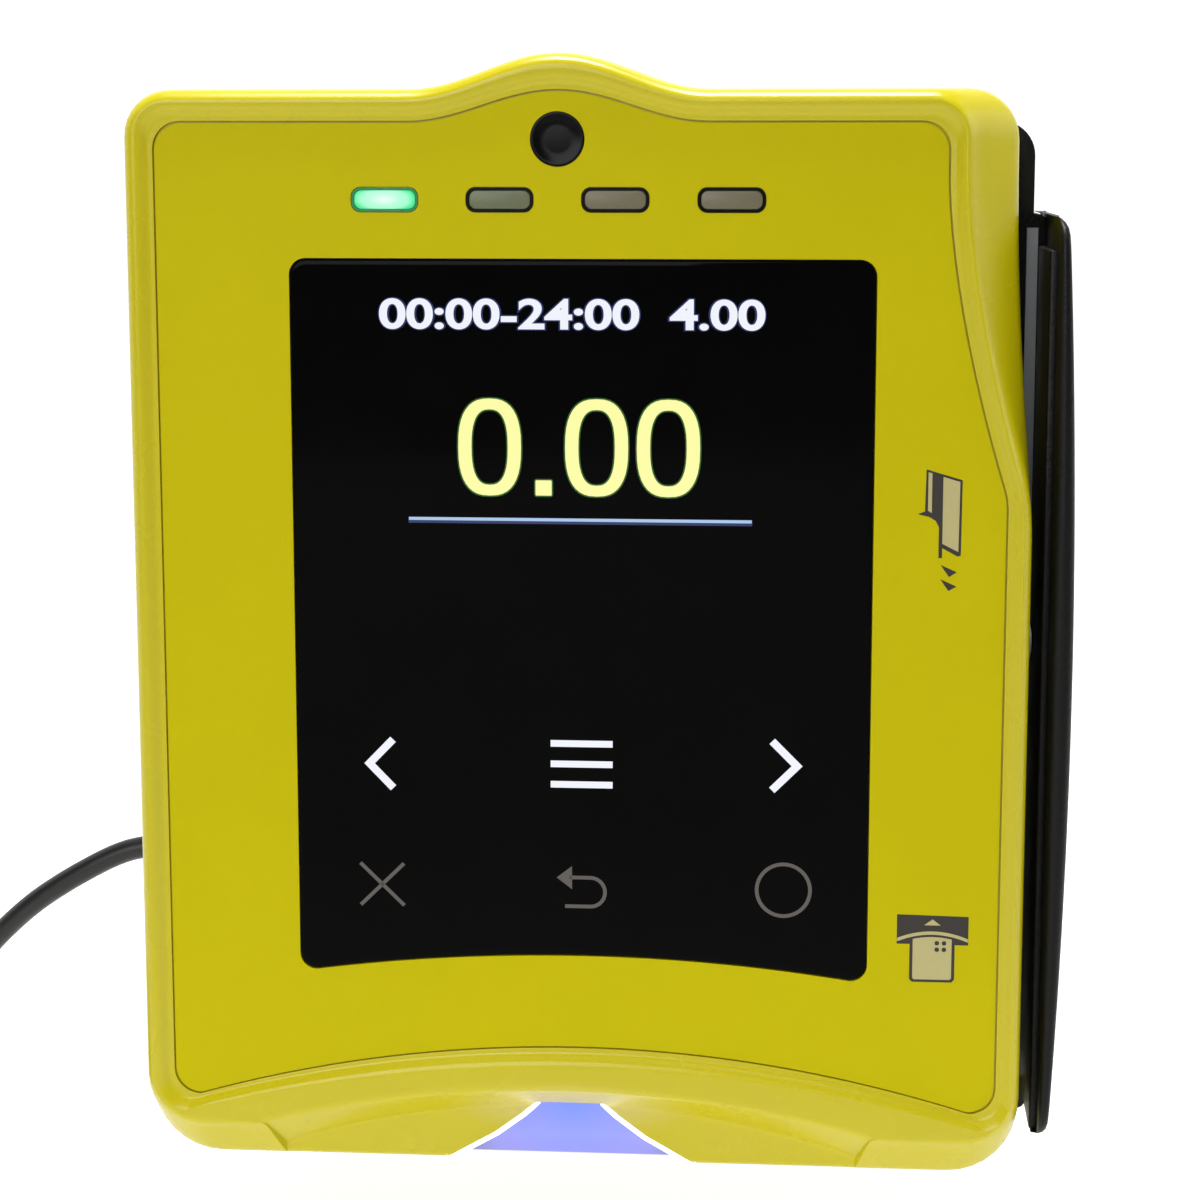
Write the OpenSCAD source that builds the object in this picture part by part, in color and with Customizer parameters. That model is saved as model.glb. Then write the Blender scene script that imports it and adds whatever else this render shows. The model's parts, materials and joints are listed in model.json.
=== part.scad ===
// Card payment terminal of a pay station: a yellow front housing with a touch
// screen, a chip-card mouth below it and a swipe slot on its right side, on a
// black rear housing with mounting studs and an antenna lead.
// Millimetres. X to the right, Z up, the front faces -Y. The origin is on the
// back face, at the centre of the four mounting studs.

/* [Housing] */
// Width of the front housing
body_w = 100.4; // [100:0.2:102]
// Height of the front housing without its bump
body_h = 122.8; // [122:0.2:125]
// Height of the bump over the sensor window
bump_h = 3.9; // [2:0.1:5]
// Depth of the whole terminal, without the studs
total_d = 52; // [52:0.5:56]
// Depth of the front housing
front_d = 24; // [23.5:0.5:25]
// Wall of both housings
wall = 2.4; // [2.2:0.1:2.5]
// Width of the chamfer round the foot of the front
chamfer = 4.6; // [4:0.1:4.8]
// Height of the raised rim over the panel inside it
rim_h = 0.9; // [0.6:0.1:1]

/* [Screen and lights] */
// Width of the touch glass
glass_w = 64.5; // [62:0.5:65]
// Top of the touch glass above the origin
glass_top = 43; // [42:0.5:43.5]
// Lowest corners of the touch glass below the origin
glass_drop = 37.8; // [36:0.2:38.2]
// Distance between neighbouring light windows
light_pitch = 12.7; // [11:0.1:13]
// Width of one light window
light_w = 7.4; // [6:0.1:8]
// Height of one light window
light_h = 2.7; // [2:0.1:3]
// Diameter of the round sensor window
sensor_d = 5.9; // [5:0.1:6.4]

/* [Cards] */
// Width of a payment card
card_w = 53.98; // [53.98:0.01:54.06]
// Gap in which a chip card slides
card_gap = 1.2; // [1:0.05:1.25]
// Gap of the swipe slot
swipe_gap = 1.5; // [1.3:0.05:1.55]
// Travel of the contact carriage
carriage_travel = 2; // [1:0.1:2.2]

/* [Rear] */
// Width of the deep part of the rear housing
rear_w = 84; // [83:0.5:85]
// Height of the deep part of the rear housing
rear_h = 100; // [99:0.5:101]
// Distance between the studs across
stud_x = 68; // [66:1:68]
// Distance between the studs up the back
stud_z = 84; // [82:1:84]
// Diameter of a mounting stud
stud_d = 4; // [4:0.5:5]
// Length of a stud behind the back face
stud_len = 14; // [8:1:20]

/* [Antenna lead] */
// Diameter of the lead
lead_d = 2.8; // [2.5:0.1:3]
// Radius of the coil at the middle of its turns
coil_r = 16.5; // [16:0.5:17]

/* [Hidden] */
$fn = 48;
e = 0.01;
half_w = body_w / 2;
half_h = body_h / 2;
yf = -total_d;                 // plane of the rim
y_panel = yf + rim_h;          // face of the inlay
film = 0.5;                    // thickness of the inlay
glass_t = 1.5;
y_foot = yf + chamfer;         // where the chamfer ends, and the card lip's face
lip = 1.8;
y_lip = y_foot + lip;          // back of the card lip
y_wall = yf + 3.8;             // back of the front wall
y_split = yf + front_d;        // back of the front housing
flange_t = 6;
y_flange = y_split + flange_t;
centre = -2.1;                 // X of the sensor window, the bump and the lights
card_x = -1.2;                 // X of the chip card's middle
glass_x = 0.45;                // X of the glass's middle
light_z = 49.5;
sensor_z = 56.05;
kink_z = 17;                   // where the right side turns in for the swiping thumb
relief_z = 52;                 // where that turn is complete
arch_x = -1.4;
front_arch_r = 135;
foot_arch_r = 103;
rail_x = half_w + 2.35;        // inner face of the swipe rail
rib_x = half_w + swipe_gap;
y_head = -39;                  // middle of the magnetic head
head_z = 0;
jack_y = -17;
jack_z = -32.5;
floor_z = -76;                 // what the lead's coil lies on
coil_c = [-116, -24];
coil_half = 5.7;               // half the width of the bundle of turns
coil_h = 10.1;

yellow = [0.77, 0.72, 0.06];
black = [0.06, 0.06, 0.06];
steel = [0.72, 0.73, 0.75];
brass = [0.8, 0.65, 0.3];
board_green = [0.07, 0.3, 0.16];
clear_blue = [0.62, 0.66, 1.0];

// ---- Shared shapes ----

module box(low, high) translate(low) cube(high - low);

// A drawing in X and Z, as a slab from y0 back to y1.
module slab(y0, y1) translate([0, y1, 0]) rotate([90, 0, 0]) linear_extrude(y1 - y0) children();

module rod_y(x, z, r, y0, y1) translate([x, y1, z]) rotate([90, 0, 0]) cylinder(r = r, h = y1 - y0);

module rod_x(y, z, r, x0, x1) translate([x0, y, z]) rotate([0, 90, 0]) cylinder(r = r, h = x1 - x0);

// A rectangle in X and Z with round corners.
module round_rect(low, high, r) {
  translate([low.x + r, low.y]) square([high.x - low.x - 2 * r, high.y - low.y]);
  translate([low.x, low.y + r]) square([high.x - low.x, high.y - low.y - 2 * r]);
  for (x = [low.x + r, high.x - r], z = [low.y + r, high.y - r]) translate([x, z]) circle(r);
}

module at(places) for (p = places) translate([p.x, 0, p.y]) children();

// A screw along Y: its head lies from y to y + head_t, and its shank in front of it.
module screw(y, shank_r, length, head_r, head_t) {
  rod_y(0, 0, shank_r, y - length, y);
  difference() {
    rod_y(0, 0, head_r, y, y + head_t);
    translate([0, y + head_t + e, 0]) rotate([90, 0, 0])
      cylinder(r = head_r * 0.45, h = head_t * 0.6, $fn = 6);
  }
}

function arc(c, r, a0, a1, n) =
  [for (i = [0:n]) let (a = a0 + (a1 - a0) * i / n) c + r * [cos(a), sin(a)]];

// Height of the bump at x.
function bump(x) = abs(x - centre) < 16.5 ? bump_h * (0.5 + 0.5 * cos(180 * (x - centre) / 16.5)) : 0;

// The housing's outline, counter-clockwise from the front: left, upper right, lower
// right, top and bottom edges, the bottom and the top corners' radii, and how far the
// bottom edge arches up.
function outline(l, ru, rl, t, b, rb, rt, lift = 0) = concat(
  arc([l + rb, b + rb], rb, 180, 270, 8),
  [for (i = [-9:9]) [(l + rl) / 2 + ((rl - l) / 2 - rb) * i / 10, b + lift * (1 - i * i / 100)]],
  arc([rl - rb, b + rb], rb, 270, 360, 8),
  [for (i = [0:10]) let (s = i / 10)
    [rl - (rl - ru) * (1 - pow(1 - s, 1.6)), kink_z + (relief_z - kink_z) * s]],
  arc([ru - rt, t - rt], rt, 0, 90, 8),
  [for (i = [-8:8]) let (x = centre - 16.5 * i / 8) [x, t + bump(x)]],
  arc([l + rt, t - rt], rt, 90, 180, 8));

// A closed skin over rings of points, each ring [y, points], from front to back.
module skin(rings) {
  n = len(rings[0][1]);
  points = [for (ring = rings, p = ring[1]) [p.x, ring[0], p.y]];
  sides = [for (k = [0:len(rings) - 2], i = [0:n - 1])
    let (a = k * n + i, b = k * n + (i + 1) % n) each [[a, b, b + n], [a, b + n, a + n]]];
  polyhedron(points, concat(sides, [[for (i = [n - 1:-1:0]) i]],
    [[for (i = [0:n - 1]) (len(rings) - 1) * n + i]]), convexity = 6);
}

function circle_z(x, x0, r, top) = top - r + sqrt(r * r - pow(x - x0, 2));

// The area under an arch: its crown, radius and half-width, down to z.
module under_arch(top, r, half, z) polygon(concat([[arch_x + half, z], [arch_x - half, z]],
  [for (i = [-10:10]) let (x = arch_x + half * i / 10) [x, circle_z(x, arch_x, r, top)]]));

// The panel inside the rim, grown by g.
function panel_line(g) = outline(3.5 - half_w - g, 40.3 + g, half_w - 2.9 + g, half_h - 3.6 + g,
  -53 - g, 3, 4, 6.6);

// The touch glass, grown by g: straight sides and a low arch along the bottom.
module glass_shape(g) {
  l = glass_x - glass_w / 2 - g;
  r = glass_x + glass_w / 2 + g;
  difference() {
    round_rect([l, -glass_drop - g], [r, glass_top + g], 1.6 + max(0, g));
    polygon(concat([[r - 3, -60], [l + 3, -60]],
      [for (i = [-10:10]) let (x = glass_x + (glass_w / 2 + g - 3) * i / 10)
        [x, circle_z(x, glass_x, 210, -35.6) - g]]));
  }
}

// The thumb notch in the card lip, grown by g.
module bell_shape(g) {
  half = [[3.9, -54.2], [5.6, -55.8], [8.8, -58.2], [11.6, -59.7], [13.6, -60.8], [14.4, -64]];
  polygon(concat([for (p = half) [card_x + p.x + g, p.y + g]],
    [for (i = [len(half) - 1:-1:0]) [card_x - half[i].x - g, half[i].y + g]]));
}

light_x = [for (i = [-1.5:1:1.5]) centre + light_pitch * i];
housing_bosses = [[-43.6, 54.4], [41.2, 54.4], [-43.6, -54.6], [43.6, -54.6]];
board_bosses = [[-36.5, 52.5], [35, 52.5], [-36.5, -42], [35, -42]];
reader_bosses = [for (x = [-33.5, 33.5], z = [-20, -34]) [card_x + x, z]];
stud_places = [for (x = [-1, 1], z = [-1, 1]) [x * stud_x / 2, z * stud_z / 2]];
io_bosses = [[-35, 28], [35, 28], [-35, -24], [35, -24]];
tamper_places = [[-32, 36], [28, -24]];

// ---- Front housing and what is set in its face ----

module arch_recess() hull() {
  slab(yf - 0.6, yf) under_arch(-51.4, front_arch_r, 35, -70);
  slab(y_foot - e, y_foot) under_arch(-54.6, foot_arch_r, 33.2, -70);
}

module front_housing() color(yellow) {
  difference() {
    skin([
      [y_panel + film, panel_line(0)],
      [yf, panel_line(0)],
      [yf, outline(1 - half_w, 42.4, half_w - 1, half_h - 1, 5.2 - half_h, 5.5, 4)],
      [yf + 1, outline(-half_w, 43.4, half_w, half_h, 4.2 - half_h, 6.5, 5)],
      [y_foot, outline(-half_w, 48.0, half_w, half_h + 0.1, -half_h - 0.1, 8, 5.5)],
      [y_split, outline(-half_w, 48.9, half_w, half_h + 0.2, -half_h - 0.2, 8, 5.5)]]);
    slab(yf, y_panel + glass_t + 0.3) glass_shape(0.15);
    slab(yf, y_wall + 1) glass_shape(-2.2);
    at([for (x = light_x) [x, light_z]]) slab(yf, y_wall + 1)
      round_rect([-light_w / 2 - 0.1, -light_h / 2 - 0.1], [light_w / 2 + 0.1, light_h / 2 + 0.1], 1.1);
    rod_y(centre, sensor_z, 2.4, yf, y_wall + 1);
    // the hollow: full depth above the card mouth, and behind the lip below it
    difference() {
      slab(y_wall, y_split + 1) polygon(outline(wall - half_w, 45.4, half_w - wall,
        half_h - wall, wall - half_h, 5.6, 3.4));
      box([-60, yf, -70], [60, y_lip, -49.5]);
    }
    arch_recess();
    slab(y_foot - 1, y_lip + 1) bell_shape(0);
    box([card_x - 27.6, y_lip, -66], [card_x + 27.6, y_lip + 4.3, -58]);
    box([half_w - wall - 1, y_head - 6.3, head_z - 7.3], [half_w + 1, y_head + 6.3, head_z + 7.3]);
  }
  at(housing_bosses) difference() {
    rod_y(0, 0, 3.4, y_wall - e, y_split);
    rod_y(0, 0, 1.25, y_split - 12, y_split + 1);
  }
  at(board_bosses) difference() {
    rod_y(0, 0, 2.6, y_wall - e, -38);
    rod_y(0, 0, 1.2, -44.2, -37);
  }
  at(reader_bosses) difference() {
    rod_y(0, 0, 2, y_wall - e, y_lip);
    rod_y(0, 0, 0.85, y_wall + 0.4, y_lip + 1);
  }
}

module front_inlay() color([0.71, 0.67, 0.05]) slab(y_panel, y_panel + film) difference() {
  polygon(panel_line(-0.1));
  glass_shape(0.15);
  for (x = light_x) translate([x, light_z])
    round_rect([-light_w / 2 - 0.1, -light_h / 2 - 0.1], [light_w / 2 + 0.1, light_h / 2 + 0.1], 1.1);
  translate([centre, sensor_z]) circle(sensor_d / 2 + 0.05);
}

module touch_glass() color(black) slab(y_panel, y_panel + glass_t) glass_shape(0);

module glass_gasket() color([0.2, 0.2, 0.2]) slab(y_panel + glass_t, y_panel + glass_t + 0.3)
  difference() {
    glass_shape(-0.1);
    glass_shape(-2.1);
  }

module light_pipes() color([0.85, 0.9, 0.85]) at([for (x = light_x) [x, light_z]]) {
  slab(y_panel, y_wall) round_rect([-light_w / 2, -light_h / 2], [light_w / 2, light_h / 2], 1);
  slab(y_wall, y_wall + 3) round_rect([-light_w / 2 - 0.8, -light_h / 2 - 0.8],
    [light_w / 2 + 0.8, light_h / 2 + 0.8], 1);
}

module sensor_window() color(black) rod_y(centre, sensor_z, sensor_d / 2, y_panel, y_panel + film);

module sensor_module() color([0.15, 0.15, 0.17]) {
  rod_y(centre, sensor_z, 2.2, y_panel + film + 0.3, y_wall + 1.4);
  box([centre - 3, y_wall + 1.3, sensor_z - 2.3], [centre + 3, -44, sensor_z + 2.3]);
}

// ---- Display, antenna loop and lights ----

module lcd_panel() color([0.1, 0.11, 0.13]) box([-32, y_wall, -8], [34, y_wall + 1.4, 44.5]);

module lcd_backlight() color([0.86, 0.87, 0.86]) box([-32, y_wall + 1.4, -8], [34, y_lip, 44.5]);

module lcd_flex() color([0.8, 0.55, 0.15]) box([-6, y_wall + 0.4, 44.55], [6, -38, 44.85]);

module nfc_antenna() color(board_green) slab(y_wall, y_wall + 0.8) difference() {
  round_rect([-37, -13.6], [39, 46.2], 2);
  round_rect([-32.6, -8.6], [34.6, 45], 1);
}

// The board behind the windows, with the header that joins it to the main board.
module led_board() color(board_green) {
  box([-27, -44, 46.5], [23, -42.8, 53]);
  box([centre - 5, -44, 52.9], [centre + 5, -42.8, 58.4]);
  box([-8, -42.9, 49], [8, -38, 51.5]);
}

module status_leds() color([0.9, 0.9, 0.85]) for (x = light_x)
  box([x - 1.6, -45, light_z - 0.8], [x + 1.6, -44, light_z + 0.8]);

// ---- Chip-card reader ----

chan0 = y_lip + 1;             // front of the card channel
chan1 = chan0 + card_gap;
y_reader = chan1 + 3.2;
win_x = [card_x - 6, card_x + 10];
lever_y = -41.6;               // pivot of the card switch's lever
lever_z = -19;

module chip_reader_body() color([0.12, 0.12, 0.13]) difference() {
  union() {
    box([card_x - 31, y_lip, -58.8], [card_x + 31, y_reader, -14]);
    box([card_x - 36, y_lip, -38], [card_x + 36, y_reader, -16]);
  }
  box([card_x - card_w / 2 - 0.3, chan0, -60], [card_x + card_w / 2 + 0.3, chan1, -15.5]);
  // the mouth: the light guide's seat, and the notch in the front plate
  box([card_x - 24.3, chan1 - e, -60], [card_x + 24.3, y_reader + 1, -51.7]);
  slab(y_lip - 1, chan0 + e) bell_shape(1);
  // the carriage's window, and the switch lever's
  box([win_x[0] - 0.3, y_lip - 1, -39], [win_x[1] + 0.3, chan0 + e, -13]);
  box([card_x + 14, chan1 - e, -30], [card_x + 18, y_reader + 1, -17]);
  at(reader_bosses) rod_y(0, 0, 1, y_lip - 1, y_reader + 1);
  rod_x(lever_y, lever_z, 0.52, card_x + 12, card_x + 20);
}

module contact_carriage() color([0.2, 0.2, 0.22]) {
  box([win_x[0], y_lip - 2, -38.6], [win_x[1], chan0 - 0.2, -16.4 - 0.2]);
  box([win_x[0] + 3, y_lip - 1, -19.2], [win_x[1] - 3, chan1 - 0.25, -18.2]);
}

module card_contacts() color(brass) for (i = [0:3], k = [0, 1])
  box([card_x - 2.6 + 2.54 * i, chan0 - 0.2, -35 + 7.6 * k],
    [card_x - 1.2 + 2.54 * i, chan0 + 0.15, -31.6 + 7.6 * k]);

module card_switch_lever() color([0.85, 0.85, 0.8]) difference() {
  union() {
    rod_x(lever_y, lever_z, 1.1, card_x + 14.4, card_x + 17.6);
    box([card_x + 14.4, -42.5, -28.6], [card_x + 17.6, -41.3, -19]);
    box([card_x + 14.4, chan0 + 0.35, -28.6], [card_x + 17.6, -42.4, -26.6]);
  }
  rod_x(lever_y, lever_z, 0.55, card_x + 14, card_x + 18);
}

module lever_pin() color(steel) rod_x(lever_y, lever_z, 0.5, card_x + 12.2, card_x + 19.8);

module card_switch() color([0.1, 0.1, 0.1]) box([card_x + 13.5, -40, -30], [card_x + 18.5, -38, -24]);

module mouth_light_guide() color(clear_blue)
  box([card_x - 24, chan1, 0.3 - half_h], [card_x + 24, chan1 + 2, -51.7]);

module guide_leds() color([1, 1, 0.9]) for (x = [-10, 0, 10])
  box([card_x + x - 1.5, chan1 + 2, -56], [card_x + x + 1.5, chan1 + 2.9, -53.5]);

module reader_screws() color(steel) at(reader_bosses) screw(y_reader, 0.8, 7, 1.9, 1.2);

// ---- Main board ----

y_board = -38;
board_back = y_board + 1.6;

module main_board() color(board_green) difference() {
  slab(y_board, board_back) round_rect([-39.4, -46], [37.4, 56], 1.5);
  at(board_bosses) rod_y(0, 0, 1.4, y_board - 1, board_back + 1);
}

module board_screws() color(steel) at(board_bosses) screw(board_back, 1.15, 7, 2.5, 1.6);

module shield_can() color(steel) difference() {
  box([-30, board_back, 4], [2, board_back + 3, 34]);
  box([-29.7, board_back - 1, 4.3], [1.7, board_back + 2.7, 33.7]);
}

module coin_cell_holder() color([0.1, 0.1, 0.12]) difference() {
  rod_y(20, 18, 11.4, board_back, board_back + 4.6);
  rod_y(20, 18, 10.1, board_back + 0.8, board_back + 6);
  box([16, board_back + 0.8, 4], [24, board_back + 6, 12]);
}

module coin_cell() color(steel) rod_y(20, 18, 10, board_back + 0.8, board_back + 4);

module buzzer() color(black) difference() {
  rod_y(-24, -30, 6, board_back, board_back + 5.4);
  rod_y(-24, -30, 1, board_back + 3, board_back + 6);
}

module tamper_switches() color([0.2, 0.2, 0.2]) at(tamper_places)
  box([-3, board_back, -1.75], [3, board_back + 3, 1.75]);

module tamper_plungers() color([0.9, 0.9, 0.88]) at(tamper_places)
  rod_y(0, 0, 1.2, board_back + 3, -12);

module board_ribbon() color([0.6, 0.6, 0.62]) box([-8, board_back, -20], [8, -12, -19]);

// ---- Swipe slot ----

module mag_head() color([0.6, 0.6, 0.62]) {
  box([45.4, y_head - 5, head_z - 6], [half_w - 0.4, y_head + 5, head_z + 6]);
  intersection() {
    translate([half_w - 9, y_head - 5, head_z]) rotate([-90, 0, 0]) cylinder(r = 9.8, h = 10);
    box([half_w - 0.5, y_head - 5, head_z - 3], [half_w + 1, y_head + 5, head_z + 3]);
  }
  rod_x(y_head, head_z, 1, 43.2, 45.5);
}

module head_leaf_spring() color(steel) difference() {
  box([44.2, y_head - 3.2, head_z - 16.5], [44.5, y_head + 3.2, head_z + 16.5]);
  rod_x(y_head, head_z, 1.08, 44, 45);
  for (z = [-14.2, 14.2]) rod_x(y_head, head_z + z, 0.9, 44, 45);
}

module head_bracket() color([0.15, 0.15, 0.16]) difference() {
  box([44.5, y_head - 7, head_z - 16.9], [half_w - wall, y_head + 7, head_z + 16.9]);
  box([44, y_head - 5.7, head_z - 6.7], [half_w, y_head + 5.7, head_z + 6.7]);
  for (z = [-14.2, 14.2]) rod_x(y_head, head_z + z, 0.75, 44, 47);
}

module head_screws() color(steel) for (z = [-14.2, 14.2]) {
  rod_x(y_head, head_z + z, 0.7, 44.1, 46.8);
  rod_x(y_head, head_z + z, 1.6, 43.1, 44.2);
}

// The rail's wall bows out a little between its ends.
module swipe_rail() color(black) difference() {
  union() {
    slab(yf + 1.8, y_flange + 1) polygon(concat([[rail_x, -56.8], [rail_x, 47.8]],
      [for (i = [12:-1:-12]) let (z = -4.5 + 52.3 * i / 12)
        [half_w + 4.9 - 862 + sqrt(862 * 862 - pow(z + 4.5, 2)), z]]));
    box([rib_x, yf + 6, -56.8], [rail_x + e, y_split, 44]);
    for (z = [-34, 26]) box([43, y_flange, z - 6], [half_w + 3.8, y_flange + 2.4, z + 6]);
  }
  // round the front ends
  for (z = [-56.8, 47.8]) translate([rail_x - 5, yf + 1.8, z]) rotate([0, 90, 0])
    cylinder(r = 2.6, h = 12, $fn = 4);
  for (z = [-34, 26]) rod_y(47.4, z, 1.5, y_flange - 1, y_flange + 3);
}

module rail_screws() color(steel) for (z = [-34, 26]) translate([47.4, 0, z])
  screw(y_flange + 2.4, 1.2, 6, 2.6, 1.7);

module wear_strip() color(steel) box([half_w + 0.12, y_split - 0.5, -56], [rib_x - 0.1, y_split, 46]);

// ---- Rear housing ----

door = [-30, 18, -9, 37];      // the SIM opening: low x, low z, high x, high z
pin_x = door[0] + 1.6;
pin_y = -1.2;
button = [24, 33];

module rear_housing() color(black) difference() {
  union() {
    slab(y_split, y_flange) {
      round_rect([-half_w + 1.2, -60.3], [half_w + 0.9, 58.2], 4);
      // The strip behind the swipe slot reaches the rail.
      round_rect([0, -60.3], [rail_x - 0.05, 47.6], 1);
    }
    slab(y_flange - e, 0) round_rect([-rear_w / 2, -rear_h / 2], [rear_w / 2, rear_h / 2], 6);
    slab(-10.4, -wall + e) for (p = io_bosses) translate(p) circle(2.6);
  }
  difference() {
    slab(y_split - 1, -wall) round_rect([wall - rear_w / 2, wall - rear_h / 2],
      [rear_w / 2 - wall, rear_h / 2 - wall], 4);
    slab(-10.4, 0) for (p = io_bosses) translate(p) circle(2.6);
  }
  at(housing_bosses) {
    rod_y(0, 0, 1.6, y_split - 1, y_flange + 1);
    rod_y(0, 0, 3.2, y_flange - 2.4, y_flange + 1);
  }
  for (z = [-34, 26]) rod_y(47.4, z, 1.25, y_flange - 4, y_flange + 1);
  at(stud_places) rod_y(0, 0, stud_d / 2 + 0.45, -wall - 1, 1);
  at(io_bosses) rod_y(0, 0, 1.2, -11, -4.4);
  box([door[0], -wall - 1, door[1]], [door[2], 1, door[3]]);
  translate([pin_x, pin_y, door[1] - 1.3]) cylinder(r = 0.62, h = door[3] - door[1] + 2.6);
  rod_y(button.x, button.y, 3.1, -wall - 1, 1);
  box([-18.2, -wall - 1, -13.7], [18.2, 1, -2.3]);
  rod_x(jack_y, jack_z, 3.25, -rear_w / 2 - 1, -rear_w / 2 + wall + 1);
}

module housing_gasket() color([0.18, 0.18, 0.18]) slab(y_split - 1, y_split) difference() {
  round_rect([-43, -52], [43, 51.2], 4);
  round_rect([-41.4, -50.4], [41.4, 49.6], 3);
}

module housing_screws() color(steel) at(housing_bosses) screw(y_flange - 2.4, 1.2, 12, 2.8, 1.8);

module mounting_studs() color(steel) at(stud_places) {
  rod_y(0, 0, stud_d / 2, -wall, stud_len);
  // The shank pressed into the wall is thicker than the thread.
  rod_y(0, 0, stud_d / 2 + 0.4, -wall - e, 0);
  rod_y(0, 0, 4, -wall - 1.5, -wall);
}

module io_board() color(board_green) difference() {
  slab(-12, -10.4) round_rect([-38.5, -27.6], [38.5, 40], 1.5);
  at(io_bosses) rod_y(0, 0, 1.4, -13, -10);
}

module io_screws() color(steel) at(io_bosses) translate([0, -12, 0]) mirror([0, 1, 0])
  screw(0, 1.15, 6, 2.5, 1.6);

module modem() color([0.55, 0.57, 0.58]) box([-31, -16, -27], [-9, -12, 8]);

module sim_holder() color(steel) difference() {
  box([-29, -10.4, 20], [-11, -8.4, 35]);
  box([-27.6, -9.7, 21], [-10, -8.8, 34]);
}

module sim_card() color([0.9, 0.9, 0.86]) box([-27.4, -9.65, 21.2], [-10.4, -8.89, 33.4]);

module sim_door() color(black) difference() {
  union() {
    box([pin_x, -2.2, door[1] + 0.2], [door[2] - 0.2, -0.2, door[3] - 0.2]);
    translate([pin_x, pin_y, door[1] + 0.2]) cylinder(r = 1.1, h = door[3] - door[1] - 0.4);
  }
  translate([pin_x, pin_y, 0]) cylinder(r = 0.66, h = 60);
  box([door[2] - 2, -0.9, 25], [door[2], 1, 30]);
}

module sim_door_pin() color(steel) translate([pin_x, pin_y, door[1] - 1.2])
  cylinder(r = 0.6, h = door[3] - door[1] + 2.4);

module harness_socket() color([0.1, 0.1, 0.1]) difference() {
  box([-18, -10.4, -13.5], [18, -0.3, -2.5]);
  for (i = [0:7], k = [0, 1]) box([-15.4 + 4.2 * i, -6, -11.2 + 4.6 * k],
    [-14 + 4.2 * i, 0, -9.4 + 4.6 * k]);
}

module service_button() color([0.3, 0.3, 0.3]) {
  rod_y(button.x, button.y, 3, -2.6, -0.3);
  rod_y(button.x, button.y, 3.8, -3.6, -2.5);
  rod_y(button.x, button.y, 1.5, -6.1, -3.5);
}

module service_switch() color(steel) box([button.x - 3, -10.4, button.y - 3],
  [button.x + 3, -7, button.y + 3]);

// ---- Antenna lead ----

wall_x = -rear_w / 2;

module antenna_jack() color(brass) {
  rod_x(jack_y, jack_z, 3.1, wall_x - 4.5, wall_x + wall);
  translate([wall_x + wall, jack_y, jack_z]) rotate([0, 90, 0]) cylinder(r = 4.4, h = 2.4, $fn = 6);
  rod_x(jack_y, jack_z, 1.6, wall_x + wall + 2.3, wall_x + wall + 4);
}

module antenna_pigtail() color([0.25, 0.25, 0.25]) {
  rod_x(jack_y, jack_z, 0.9, wall_x + wall + 4, -24);
  translate([-24, jack_y, jack_z]) sphere(0.9);
  translate([-24, jack_y, jack_z]) cylinder(r = 0.9, h = 9);
}

module antenna_plug() color(brass) difference() {
  union() {
    translate([wall_x - 7.5, jack_y, jack_z]) rotate([0, 90, 0]) cylinder(r = 4.5, h = 6.6, $fn = 6);
    rod_x(jack_y, jack_z, 3, wall_x - 9.5, wall_x - 7.4);
    rod_x(jack_y, jack_z, 2.1, wall_x - 15, wall_x - 9.4);
  }
  rod_x(jack_y, jack_z, 3.15, wall_x - 4.6, wall_x);
}

// The lead's middle line: level out of the plug, down to the surface and along it.
lead_points = [[-57.2, -17, -32.5], [-58.6, -17, -32.7], [-60.6, -17, -33.2], [-63, -17, -34.2],
  [-66, -17, -35.8], [-69, -16.9, -37.6], [-72.5, -16.7, -40], [-76, -16.2, -43],
  [-79.5, -15.4, -46.6], [-82.6, -14, -50.8], [-85.2, -12.3, -55.4], [-87.4, -10.5, -60.2],
  [-89.8, -8.5, -65], [-92.8, -6.5, -69.4], [-96.6, -4.7, -72.6], [-100.8, -3.4, -74.2],
  [-104.6, -2.9, -74.6], [-108, -2.8, -74.6]];
tail_points = [[-105, -43.9, -67.4], [-101, -44.2, -68.2], [-97, -44.9, -69.6],
  [-93, -45.9, -71], [-89, -47.2, -71.9], [-85.5, -48.5, -72.3]];

function unit(v) = v / norm(v);
function tangent(p, i) = unit(p[min(i + 1, len(p) - 1)] - p[max(i - 1, 0)]);

// A tube round a line of points, with eight sides.
module tube(p, r) {
  sides = 8;
  turn = 360 / sides;
  rings = [for (i = [0:len(p) - 1])
    let (t = tangent(p, i), s = unit(cross(t, [0.05, 1, 0.1])), u = cross(s, t))
    each [for (k = [0:sides - 1]) p[i] + r * (cos(turn * k) * s + sin(turn * k) * u)]];
  walls = [for (i = [0:len(p) - 2], k = [0:sides - 1])
    let (a = i * sides + k, b = i * sides + (k + 1) % sides)
    each [[a, b, b + sides], [a, b + sides, a + sides]]];
  polyhedron(rings, concat(walls, [[for (k = [sides - 1:-1:0]) k]],
    [[for (k = [0:sides - 1]) (len(p) - 1) * sides + k]]), convexity = 4);
}

module antenna_lead() color(black) tube(lead_points, lead_d / 2);

module antenna_lead_coil() color(black) translate([coil_c.x, coil_c.y, floor_z])
  rotate_extrude($fn = 64) translate([coil_r - coil_half, 0]) square([2 * coil_half, coil_h]);

module antenna_lead_tail() color(black) tube(tail_points, lead_d / 2);

module lead_tie() color([0.1, 0.1, 0.1]) translate([coil_c.x - coil_r, coil_c.y, floor_z])
  difference() {
    box([-coil_half - 1.2, -2, 0], [coil_half + 1.2, 2, coil_h + 1]);
    box([-coil_half - 0.3, -3, -1], [coil_half + 0.3, 3, coil_h]);
  }

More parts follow.
